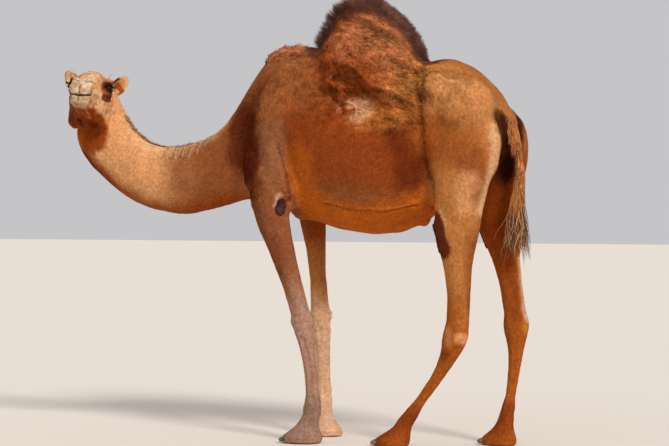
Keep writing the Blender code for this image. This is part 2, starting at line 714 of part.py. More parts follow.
def foreleg_planes(name, side):
    """The planes that part a foreleg from the trunk: behind it, above it and on its inner side."""
    forward, height = ELBOW_CUT[name]
    lean = math.radians(14.5)
    return [
        ((forward, 0.0, height), (-math.cos(lean), 0.0, math.sin(lean))),
        ((forward + 0.12, 0.0, height - 0.015), (math.sin(lean), 0.0, math.cos(lean))),
        ((0.0, side * 0.070, 0.0), (0.0, -side, 0.0)),
    ]


def thigh_planes():
    return [((THIGH_FRONT, 0.0, 0.0), (1.0, 0.0, 0.0)), below(THIGH_TOP)]


def head_planes():
    return [(HEAD_PLACE @ Vector(point), HEAD_TURN @ Vector(normal)) for point, normal in HEAD_SPACE]


def head_nodes(head):
    """Head, jaw, ears and eyes."""
    skull = node("head", head, head_planes(), HEAD_PLACE @ Vector((0.25, 0.0, 0.10)), HEAD_TRIANGLES)
    jaw = copy_of(skull, "jaw")
    jaw_planes = [turned(JAW_CUT), turned(JAW_REAR)]
    keep_behind(jaw, jaw_planes, -GAP / 2)
    keep_nearest(jaw, HEAD_PLACE @ Vector((0.45, 0.0, -0.05)))
    cut_cell(skull, jaw_planes)
    nodes = [skull, jaw]
    for name, side in SIDES.items():
        ear = ear_solid(name, side)
        eye_place = EYE_PLACE * Vector((1.0, side, 1.0))
        eye = ball_solid("eye_" + name, eye_place, (EYE_RADIUS,) * 3, HEAD_PLACE)
        for part in (ear, eye):
            cut_away(skull, part, GAP)
            nodes.append(part)
    return nodes


def neck_nodes(body, head):
    below_head, beside = (1.5, 0.0, 1.4), ((0.0, 0.20, 0.0), (0.0, 1.0, 0.0))
    upper = node("neck_upper", head, [turned(NECK_BEND), beside], below_head, NECK_TRIANGLES)
    cut_cell(upper, head_planes())
    keep_nearest(upper, below_head)
    return [
        upper,
        node("neck_middle", body, [NECK_BEND, turned(NECK_BREAK)], (1.2, 0.0, 1.3), 150),
        node("neck_lower", body, [NECK_BREAK, turned(NECK_ROOT)], (0.9, 0.0, 1.3), 170),
    ]


def trunk_node(body):
    trunk = copy_of(body, "trunk")
    keep_behind(trunk, [NECK_ROOT, above(0.90)], 0.0)
    thin_out(trunk, TRUNK_TRIANGLES)
    keep_behind(trunk, [NECK_ROOT], -GAP / 2)
    cut_cell(trunk, hump_planes())
    cut_cell(trunk, thigh_planes())
    for name, side in SIDES.items():
        cut_cell(trunk, foreleg_planes(name, side))
    keep_nearest(trunk, (0.0, 0.0, 1.8))
    return trunk


def hump_planes():
    front, rear = ((HUMP_FRONT, 0.0, 0.0), (1.0, 0.0, 0.0)), ((HUMP_REAR, 0.0, 0.0), (-1.0, 0.0, 0.0))
    return [turned(HUMP_ROOT), front, rear]


def leg_nodes(body, name, side):
    """A fore and a hind leg in their lengths, with their feet."""
    inner = ((0.0, 0.0, 0.0), (0.0, -side, 0.0))
    ahead = ((BETWEEN_LEGS, 0.0, 0.0), (-1.0, 0.0, 0.0))
    behind = turned(ahead)
    knee, fetlock = LEG_CUTS["fore"][name]
    place = FOOT_PLACES["fore"][name]
    upper = foreleg_planes(name, side) + [above(knee)]
    lower = [inner, ahead, below(knee), above(fetlock)]
    foot = [inner, ahead, below(fetlock), above(0.0)]
    nodes = [
        node(f"foreleg_{name}_upper", body, upper, (0.45, side * 0.16, 0.85), 150),
        node(f"foreleg_{name}_lower", body, lower, (*place, 0.35), 100),
        node(f"foot_fore_{name}", body, foot, (*place, 0.05), 150),
    ]
    hock, fetlock = LEG_CUTS["hind"][name]
    place = FOOT_PLACES["hind"][name]
    thigh = thigh_planes() + [inner, above(THIGH_BOTTOM)]
    upper = [inner, STIFLE_FRONT, below(THIGH_BOTTOM), above(hock)]
    lower = [inner, behind, below(hock), above(fetlock)]
    foot = [inner, behind, below(fetlock), above(0.0)]
    nodes += [
        node(f"thigh_{name}", body, thigh, (-0.40, side * 0.2, 1.25), 180),
        node(f"hindleg_{name}_upper", body, upper, (-0.40, side * 0.14, 0.80), 150),
        node(f"hindleg_{name}_lower", body, lower, (*place, 0.30), 100),
        node(f"foot_hind_{name}", body, foot, (*place, 0.05), 140),
    ]
    return nodes


def nail_nodes(nodes):
    """Two nails at the front of each foot."""
    made = []
    for limb, size in FOOT_SIZE.items():
        for name, side in SIDES.items():
            forward = Vector((math.cos(TOE_OUT), side * math.sin(TOE_OUT), 0.0))
            across = Vector((-forward.y, forward.x, 0.0))
            for toe, aside in (("inner", -side), ("outer", side)):
                place = Vector((*FOOT_PLACES[limb][name], 0.021)) + forward * 0.080 * size
                place += across * aside * 0.036 * size
                turn = math.atan2(forward.y, forward.x) + aside * 0.30
                matrix = Matrix.LocRotScale(place, Euler((0.0, 0.25, turn)), None)
                nail = ball_solid(f"nail_{limb}_{name}_{toe}", (0.0, 0.0, 0.0), (0.024, 0.015, 0.013), matrix)
                thin_out(nail, 44)
                keep_behind(nail, [above(0.0)], -0.002)
                cut_away(nodes[f"foot_{limb}_{name}"], nail, GAP)
                made.append(nail)
    return made


def tail_nodes(nodes):
    """The tail and its tuft, let into the rump."""
    whole = tail_solid()
    thin_out(whole, 270)
    for host in ("trunk", "thigh_left", "thigh_right", "hindleg_right_upper"):
        cut_away(nodes[host], whole, GAP)
        keep_nearest(nodes[host], PIECE_PLACES[host])
    tail, tuft = copy_of(whole, "tail"), copy_of(whole, "tail_tuft")
    keep_behind(tail, [above(TUFT_TOP)], -GAP / 2)
    keep_behind(tuft, [below(TUFT_TOP)], -GAP / 2)
    bpy.data.objects.remove(whole)
    return [tail, tuft]


def pad_nodes(body, nodes):
    """The callused pads of elbows, stifles and chest."""
    made = []
    for name, side in SIDES.items():
        place = (ELBOW_PAD_FORWARD[name], side * 0.26, 1.123)
        pad = pad_solid(f"pad_elbow_{name}", body, place, ELBOW_PAD_SIZE, (-0.4, 0, 0))
        for host in ("trunk", f"foreleg_{name}_upper"):
            cut_away(nodes[host], pad, GAP)
        made.append(pad)
        place = (STIFLE_PAD_FORWARD[name], side * 0.17, 0.95)
        pad = pad_solid(f"pad_stifle_{name}", body, place, STIFLE_PAD_SIZE, (0, 0, 0), -10)
        cut_away(nodes[f"hindleg_{name}_upper"], pad, GAP)
        made.append(pad)
    pad = pad_solid("pad_chest", body, (0.405, 0.0, 0.95), CHEST_PAD_SIZE, (0, 0, -1))
    cut_away(nodes["trunk"], pad, GAP)
    return made + [pad]


def main():
    for obj in list(bpy.data.objects):
        bpy.data.objects.remove(obj)
    body, head = body_flesh(), head_flesh()
    made = head_nodes(head) + neck_nodes(body, head) + [trunk_node(body)]
    made.append(node("hump", body, hump_planes(), (0.1, 0.0, 2.0), HUMP_TRIANGLES))
    for name, side in SIDES.items():
        made += leg_nodes(body, name, side)
    nodes = {obj.name: obj for obj in made}
    made += pad_nodes(body, nodes) + nail_nodes(nodes) + tail_nodes(nodes)
    for obj in (body, head):
        bpy.data.objects.remove(obj)

    # The middle of the box round the whole animal comes over the origin.
    low = np.min([points_of(obj.data).min(axis=0) for obj in made], axis=0)
    high = np.max([points_of(obj.data).max(axis=0) for obj in made], axis=0)
    shift = Matrix.Translation((-(low[0] + high[0]) / 2, -(low[1] + high[1]) / 2, -low[2]))
    for obj in made:
        obj.data.transform(shift)
        paint(obj)


main()
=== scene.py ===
"""The looks of a life-size standing dromedary.

One smooth skin is made over the solids, folds and features are pressed into it, and a coat of solid tufts
grows on it. Eyes, nails and calluses are pieces of their own. Each mesh stores the colours of its points."""

import json
import math

import bmesh
import bpy
import numpy as np
from mathutils import Euler, Matrix, Vector
from mathutils.bvhtree import BVHTree
from mathutils.kdtree import KDTree

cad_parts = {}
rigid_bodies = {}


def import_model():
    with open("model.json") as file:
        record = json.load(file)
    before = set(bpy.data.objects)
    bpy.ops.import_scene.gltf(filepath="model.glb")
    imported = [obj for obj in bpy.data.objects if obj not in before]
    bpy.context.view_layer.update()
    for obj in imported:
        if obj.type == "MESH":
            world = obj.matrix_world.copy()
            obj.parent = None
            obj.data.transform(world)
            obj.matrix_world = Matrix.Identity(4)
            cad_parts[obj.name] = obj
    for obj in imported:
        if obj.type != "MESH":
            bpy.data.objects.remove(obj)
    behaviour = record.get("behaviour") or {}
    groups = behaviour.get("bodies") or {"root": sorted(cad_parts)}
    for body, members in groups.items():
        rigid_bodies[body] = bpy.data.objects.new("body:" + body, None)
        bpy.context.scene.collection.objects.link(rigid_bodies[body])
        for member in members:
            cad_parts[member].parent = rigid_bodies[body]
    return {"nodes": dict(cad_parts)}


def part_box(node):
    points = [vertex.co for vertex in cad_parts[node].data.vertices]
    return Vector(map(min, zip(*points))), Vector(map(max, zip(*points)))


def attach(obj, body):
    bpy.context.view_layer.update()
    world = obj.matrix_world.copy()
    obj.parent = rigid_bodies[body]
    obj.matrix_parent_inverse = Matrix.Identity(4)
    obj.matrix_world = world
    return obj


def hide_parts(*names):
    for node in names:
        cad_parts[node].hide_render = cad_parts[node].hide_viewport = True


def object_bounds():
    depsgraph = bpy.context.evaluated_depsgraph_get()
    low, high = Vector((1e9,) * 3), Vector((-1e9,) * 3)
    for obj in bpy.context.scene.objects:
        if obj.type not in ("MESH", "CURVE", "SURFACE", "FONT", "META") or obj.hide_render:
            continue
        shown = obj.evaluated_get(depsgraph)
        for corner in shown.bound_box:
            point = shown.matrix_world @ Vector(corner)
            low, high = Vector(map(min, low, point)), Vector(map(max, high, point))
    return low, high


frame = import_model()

cad_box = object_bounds()
rng = np.random.default_rng(1207)

# ---------------------------------------------------------------------- places
# Body places are measured from a point on the floor under the back, so far from the box's rear and right.
BEHIND, BESIDE = 0.6684, 0.3000
BODY = np.array((cad_box[0].x + BEHIND, cad_box[0].y + BESIDE, 0.0))
SIDES = {"left": 1.0, "right": -1.0}
EYE = np.array((0.200, 0.088, 0.078))
EYE_RADIUS = 0.0215
# Half the length of the eye's opening, and its height above and below the middle, then the same for the line
# of the lids and for the roots of the lashes.
EYE_OPENING = (0.0178, 0.0105, 0.0085)
LID_LINE = (0.0180, 0.0108, 0.0088)
LASH_LINE = (0.0182, 0.0112, 0.0094)
HEAD_TURN = Euler((math.radians(-6), math.radians(-6), math.radians(109)), "XYZ").to_matrix()


def middle_of(node):
    low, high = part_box(node)
    return (low + high) / 2


between_eyes = (middle_of("eye_left") + middle_of("eye_right")) / 2
HEAD_PLACE = Matrix.Translation(between_eyes) @ HEAD_TURN.to_4x4()
HEAD_PLACE = HEAD_PLACE @ Matrix.Translation((-EYE[0], 0.0, -EYE[2]))
HEAD_ROT = np.array(HEAD_TURN)
POLL = np.array(HEAD_PLACE.translation)
HEAD_MIDDLE = POLL + HEAD_ROT @ np.array((0.26, 0.0, 0.03))

# Lines that the coat and the markings follow, in body places.
NAPE = ((1.43, 0.03, 1.665), (1.375, 0.018, 1.55), (1.33, 0.01, 1.492), (1.27, 0.004, 1.446),
        (1.205, 0, 1.42), (1.13, 0, 1.415), (1.05, 0, 1.424), (0.955, 0, 1.452), (0.86, 0, 1.508),
        (0.79, 0, 1.59), (0.72, 0, 1.698), (0.645, 0, 1.80))
THROAT = ((1.63, 0.044, 1.50), (1.632, 0.026, 1.395), (1.581, 0.018, 1.319), (1.50, 0.01, 1.241),
          (1.395, 0.004, 1.16), (1.275, 0, 1.105), (1.16, 0, 1.08), (1.045, 0, 1.073), (0.95, 0, 1.09),
          (0.86, 0, 1.113), (0.78, 0, 1.135))
CREST = ((0.328, 0, 1.93), (0.322, 0, 1.985), (0.290, 0, 2.035), (0.22, 0, 2.078), (0.12, 0, 2.092),
         (0.03, 0, 2.078), (-0.06, 0, 2.02), (-0.12, 0, 1.955), (-0.160, 0, 1.885), (-0.185, 0, 1.835))
FORELEG = {
    "left": ((0.545, 0.165, 1.20), (0.52, 0.165, 1.05), (0.455, 0.163, 0.80), (0.383, 0.16, 0.56),
             (0.345, 0.157, 0.34), (0.336, 0.155, 0.17), (0.385, 0.155, 0.04)),
    "right": ((0.49, -0.165, 1.20), (0.465, -0.165, 1.05), (0.44, -0.165, 0.80), (0.424, -0.165, 0.58),
              (0.41, -0.162, 0.36), (0.405, -0.16, 0.17), (0.412, -0.165, 0.04)),
}
HINDLEG = {
    "left": ((-0.385, 0.15, 1.25), (-0.375, 0.145, 1.05), (-0.38, 0.135, 0.75), (-0.372, 0.13, 0.52),
             (-0.24, 0.125, 0.30), (-0.143, 0.12, 0.15), (-0.05, 0.12, 0.04)),
    "right": ((-0.49, -0.15, 1.25), (-0.492, -0.14, 1.06), (-0.55, -0.13, 0.78), (-0.578, -0.12, 0.56),
              (-0.565, -0.11, 0.34), (-0.545, -0.105, 0.17), (-0.500, -0.105, 0.04)),
}
TAIL = ((-0.530, 0.012, 1.605), (-0.572, 0.010, 1.539), (-0.604, 0.006, 1.470), (-0.627, 0.003, 1.378),
        (-0.631, 0, 1.285), (-0.622, 0, 1.193), (-0.609, 0, 1.10), (-0.603, 0.002, 1.008),
        (-0.59, 0.004, 0.939), (-0.58, 0.006, 0.875))
NECK_FOLDS = ((0.94, 0, 1.43), (0.99, 0, 1.40), (1.04, 0, 1.39), (1.09, 0, 1.38), (1.14, 0, 1.385),
              (1.18, 0, 1.395))
LIP_PLACES = ((0.47, 0, 0.02), (0.44, 0.03, 0.03), (0.44, -0.03, 0.03), (0.40, 0.05, 0.0), (0.40, -0.05, 0.0))
# The rubbed bare patch on the flank.
BARE_PATCH = ((0.105, 0.235, 1.602), (0.055, 0.238, 1.600), (0.035, 0.25, 1.57))

NAILS = [name for name in frame["nodes"] if name.startswith("nail_")]
PADS = [name for name in frame["nodes"] if name.startswith("pad_")]
NOT_FLESH = ("eye_", "ear_", "nail_", "pad_", "tail_tuft")
FLESH_NODES = [name for name in frame["nodes"] if not name.startswith(NOT_FLESH)]


def body(places):
    """Body places as places in the frame."""
    return np.atleast_2d(np.array(places, float)) + BODY


def head(places):
    """Head places, X from the poll to the lips, as places in the frame."""
    return np.atleast_2d(np.array(places, float)) @ HEAD_ROT.T + POLL


def both(places):
    """A line of the left side, and the same on the right."""
    return [np.array(places, float) * (1.0, side, 1.0) for side in SIDES.values()]


# ---------------------------------------------------------------------- numbers over points
def grain(points, size, seed=0):
    """Smooth random values from -1 to 1, in lumps of about that size."""
    where = points / size + 40.0 + 7.7 * seed
    cell = np.floor(where).astype(np.int64)
    part = where - cell
    part = part * part * (3.0 - 2.0 * part)
    total = np.zeros(len(points))
    for x in (0, 1):
        for y in (0, 1):
            for z in (0, 1):
                corner = cell + (x, y, z)
                mixed = corner[:, 0] * 73856093 ^ corner[:, 1] * 19349663 ^ corner[:, 2] * 83492791
                mixed = ((mixed ^ (mixed >> 13)) * 1274126177) & 0xFFFFFFFF
                value = ((mixed ^ (mixed >> 16)) & 0xFFFF) / 32767.5 - 1.0
                share = np.abs(1 - x - part[:, 0]) * np.abs(1 - y - part[:, 1]) * np.abs(1 - z - part[:, 2])
                total += value * share
    return total


def grain3(points, size, seed=0):
    """Three such values for each point, as a vector."""
    return np.stack([grain(points, size, seed + k) for k in range(3)], axis=1)


def distance(points, line):
    """How far the points are from a line through several places."""
    if len(line) == 1:
        return np.linalg.norm(points - line[0], axis=1)
    nearest = np.full(len(points), np.inf)
    for start, end in zip(line[:-1], line[1:]):
        along = end - start
        share = np.clip((points - start) @ along / max(along @ along, 1e-12), 0.0, 1.0)
        nearest = np.minimum(nearest, np.linalg.norm(points - start - share[:, None] * along, axis=1))
    return nearest


def ease(value):
    """A smooth step from nought to one."""
    value = np.clip(value, 0.0, 1.0)
    return value * value * (3.0 - 2.0 * value)


def near(points, line, reach, core=0.0):
    """One on the line and as far as the core from it, falling to nought at the reach."""
    low, high = line.min(axis=0) - reach, line.max(axis=0) + reach
    inside = np.flatnonzero(((points > low) & (points < high)).all(axis=1))
    value = np.zeros(len(points))
    value[inside] = ease((reach - distance(points[inside], line)) / (reach - core))
    return value


def near_both(points, place, line, reach, core=0.0):
    """How near points are to a line of the left side or to the same on the right, in body or head places."""
    return np.maximum(*(near(points, place(one), reach, core) for one in both(line)))


def unit(vectors):
    return vectors / np.maximum(np.linalg.norm(vectors, axis=1, keepdims=True), 1e-9)


def mix(first, second, share):
    return first + (second - first) * (share if np.ndim(share) == 0 else share[:, None])


# ---------------------------------------------------------------------- mesh tools
def points_of(mesh):
    flat = np.empty(len(mesh.vertices) * 3, np.float32)
    mesh.vertices.foreach_get("co", flat)
    return flat.reshape(-1, 3).astype(float)


def normals_of(mesh):
    flat = np.empty(len(mesh.vertices) * 3, np.float32)
    mesh.vertex_normals.foreach_get("vector", flat)
    return flat.reshape(-1, 3).astype(float)


def put_points(mesh, points):
    mesh.vertices.foreach_set("co", points.astype(np.float32).ravel())
    mesh.update()


def new_object(name, source):
    """A new object from a bmesh, which is freed, or from a mesh."""
    if isinstance(source, bmesh.types.BMesh):
        mesh = bpy.data.meshes.new(name)
        source.to_mesh(mesh)
        source.free()
    else:
        mesh = source
    made = bpy.data.objects.new(name, mesh)
    bpy.context.scene.collection.objects.link(made)
    return made


def apply_modifiers(obj):
    graph = bpy.context.evaluated_depsgraph_get()
    mesh = bpy.data.meshes.new_from_object(obj.evaluated_get(graph))
    obj.modifiers.clear()
    old, obj.data = obj.data, mesh
    bpy.data.meshes.remove(old)


def modify(obj, kind, **settings):
    made = obj.modifiers.new(kind.lower(), kind)
    for key, value in settings.items():
        setattr(made, key, value)
    apply_modifiers(obj)


def add_mesh(bm, piece):
    """Adds one bmesh to another, and frees it."""
    mesh = bpy.data.meshes.new("piece")
    piece.to_mesh(mesh)
    piece.free()
    bm.from_mesh(mesh)
    bpy.data.meshes.remove(mesh)


def copy_node(bm, name, grow=0.0):
    """Adds a CAD node's shape to a bmesh, its loose triangles merged, and grown by a little."""
    piece = bmesh.new()
    piece.from_mesh(frame["nodes"][name].data)
    bmesh.ops.remove_doubles(piece, verts=piece.verts, dist=0.000001)
    piece.normal_update()
    for vert in piece.verts:
        vert.co += vert.normal * grow
    add_mesh(bm, piece)


# The head is swollen this many times, as far as this from its middle, while the skin is remeshed.
MAGNIFY, MAGNIFY_REACH = 2.4, 0.36
# How wide the skin's first cells and its finer second ones are, and how much the solids grow so as to meet.
FIRST_VOXEL, SECOND_VOXEL, MEETING = 0.0125, 0.0066, 0.0009
SKIN_TRIANGLES = 190000


def magnified(points, back=False):
    """Space swollen round the head, so that one even remesh is finer there."""
    away = points - HEAD_MIDDLE
    far = np.maximum(np.linalg.norm(away, axis=1), 1e-9)
    edge = MAGNIFY_REACH * (MAGNIFY if back else 1.0)
    if back:
        new = np.where(far < edge, far / MAGNIFY, far - (MAGNIFY - 1.0) * MAGNIFY_REACH)
    else:
        new = np.where(far < edge, far * MAGNIFY, far + (MAGNIFY - 1.0) * MAGNIFY_REACH)
    return HEAD_MIDDLE + away * (new / far)[:, None]


def fuse(obj, voxel):
    """One closed skin round all that the object holds."""
    put_points(obj.data, magnified(points_of(obj.data)))
    modify(obj, "REMESH", mode="VOXEL", voxel_size=voxel)
    put_points(obj.data, magnified(points_of(obj.data), back=True))


def relax(obj, rounds, amount=None):
    """Evens the surface, in and out by turns so that no limb gets thinner."""
    mesh = obj.data
    points = points_of(mesh)
    ends = np.empty(len(mesh.edges) * 2, np.int32)
    mesh.edges.foreach_get("vertices", ends)
    first, second = ends.reshape(-1, 2).T
    count = len(points)
    share = 1.0 / np.maximum(np.bincount(first, minlength=count) + np.bincount(second, minlength=count), 1)
    if amount is None:
        amount = np.ones(count)
    for step in (0.5, -0.51) * rounds:
        for axis in range(3):
            values = points[:, axis]
            around = np.bincount(first, values[second], count) + np.bincount(second, values[first], count)
            points[:, axis] = values + step * amount * (around * share - values)
    put_points(mesh, points)


def tree_of(points):
    tree = KDTree(len(points))
    for index, point in enumerate(points):
        tree.insert(point, index)
    tree.balance()
    return tree


def laid(tree, line, step=0.004):
    """A line moved onto the skin."""
    line = np.atleast_2d(line)
    samples = [line[-1]]
    for start, end in zip(line[:-1], line[1:]):
        count = max(1, int(np.linalg.norm(end - start) / step))
        samples[-1:-1] = [start + (end - start) * share / count for share in range(count)]
    return np.array([tree.find(sample)[0] for sample in samples])


def press(obj, strokes):
    """Presses strokes into the skin, and returns how far the painted shade and highlights of the strokes
    colour each point. A stroke is a line, its reach, its depth, which is below nought for a ridge, and
    perhaps the colour painted along it, painted shade in a groove or a painted highlight on a ridge, with
    that colour's reach."""
    points, normals = points_of(obj.data), normals_of(obj.data)
    tree = tree_of(points)
    push = np.zeros(len(points))
    carved_shading = {}
    for line, reach, depth, *shading_mark in strokes:
        on_skin = laid(tree, line)
        push += depth * near(points, on_skin, reach)
        if shading_mark:
            tint, width = shading_mark
            share = near(points, on_skin, width, width * 0.2)
            carved_shading[tint] = np.maximum(carved_shading.get(tint, 0.0), share)
    put_points(obj.data, points - normals * push[:, None])
    return carved_shading


def finer(obj, places, reach):
    """Splits the faces near some places."""
    bm = bmesh.new()
    bm.from_mesh(obj.data)
    points = points_of(obj.data)
    close = np.zeros(len(points), bool)
    for place in places:
        close |= np.linalg.norm(points - place, axis=1) < reach
    bm.verts.ensure_lookup_table()
    edges = {edge.index: edge for index in np.flatnonzero(close) for edge in bm.verts[index].link_edges}
    bmesh.ops.subdivide_edges(bm, edges=[edges[index] for index in sorted(edges)], cuts=1, use_grid_fill=True)
    bmesh.ops.triangulate(bm, faces=[face for face in bm.faces if len(face.verts) > 4])
    bm.to_mesh(obj.data)
    bm.free()


# ---------------------------------------------------------------------- colours
def srgb(*codes):
    """A colour from its screen codes, 0 to 255."""
    values = np.array(codes) / 255.0
    return np.where(values < 0.04045, values / 12.92, ((values + 0.055) / 1.055) ** 2.4)


SAND = srgb(146, 86, 46)
RUFOUS = srgb(138, 60, 18)
CHESTNUT = srgb(110, 44, 12)
BROWN = srgb(134, 72, 36)
OCHRE = srgb(208, 148, 98)
GOLD = srgb(184, 116, 52)
ORANGE = srgb(186, 92, 20)
PALE_TAN = srgb(184, 118, 60)
PALE_PINK = srgb(164, 124, 104)
GREY_PINK = srgb(136, 106, 88)
PALE_LEG = srgb(206, 162, 128)
PALE_WOOL = srgb(184, 112, 70)
STRAW = srgb(216, 170, 124)
CREAM = srgb(212, 184, 150)
PALE_CHIN = srgb(176, 146, 114)
GREY_TAN = srgb(138, 88, 58)
UMBER = srgb(86, 28, 8)
CREST_BROWN = srgb(92, 46, 32)
SOOT = srgb(32, 12, 6)
TAIL_BROWN = srgb(158, 98, 52)
DEEP_ORANGE = srgb(142, 64, 14)
HOOF_RED = srgb(124, 52, 14)
HOCK_GOLD = srgb(156, 78, 20)
HIDE_PALE = srgb(198, 142, 104)

# How carved features colour the coat, as painted shade in their grooves and hollows and painted highlights on
# their ridges: their colour, and how strong it is.
CARVED_SHADING = {
    "soot": (SOOT, 0.95), "dusk": (UMBER, 0.65), "pale": (STRAW, 0.55), "crease": (UMBER, 0.50),
    "vein": (PALE_TAN, 0.50),
}

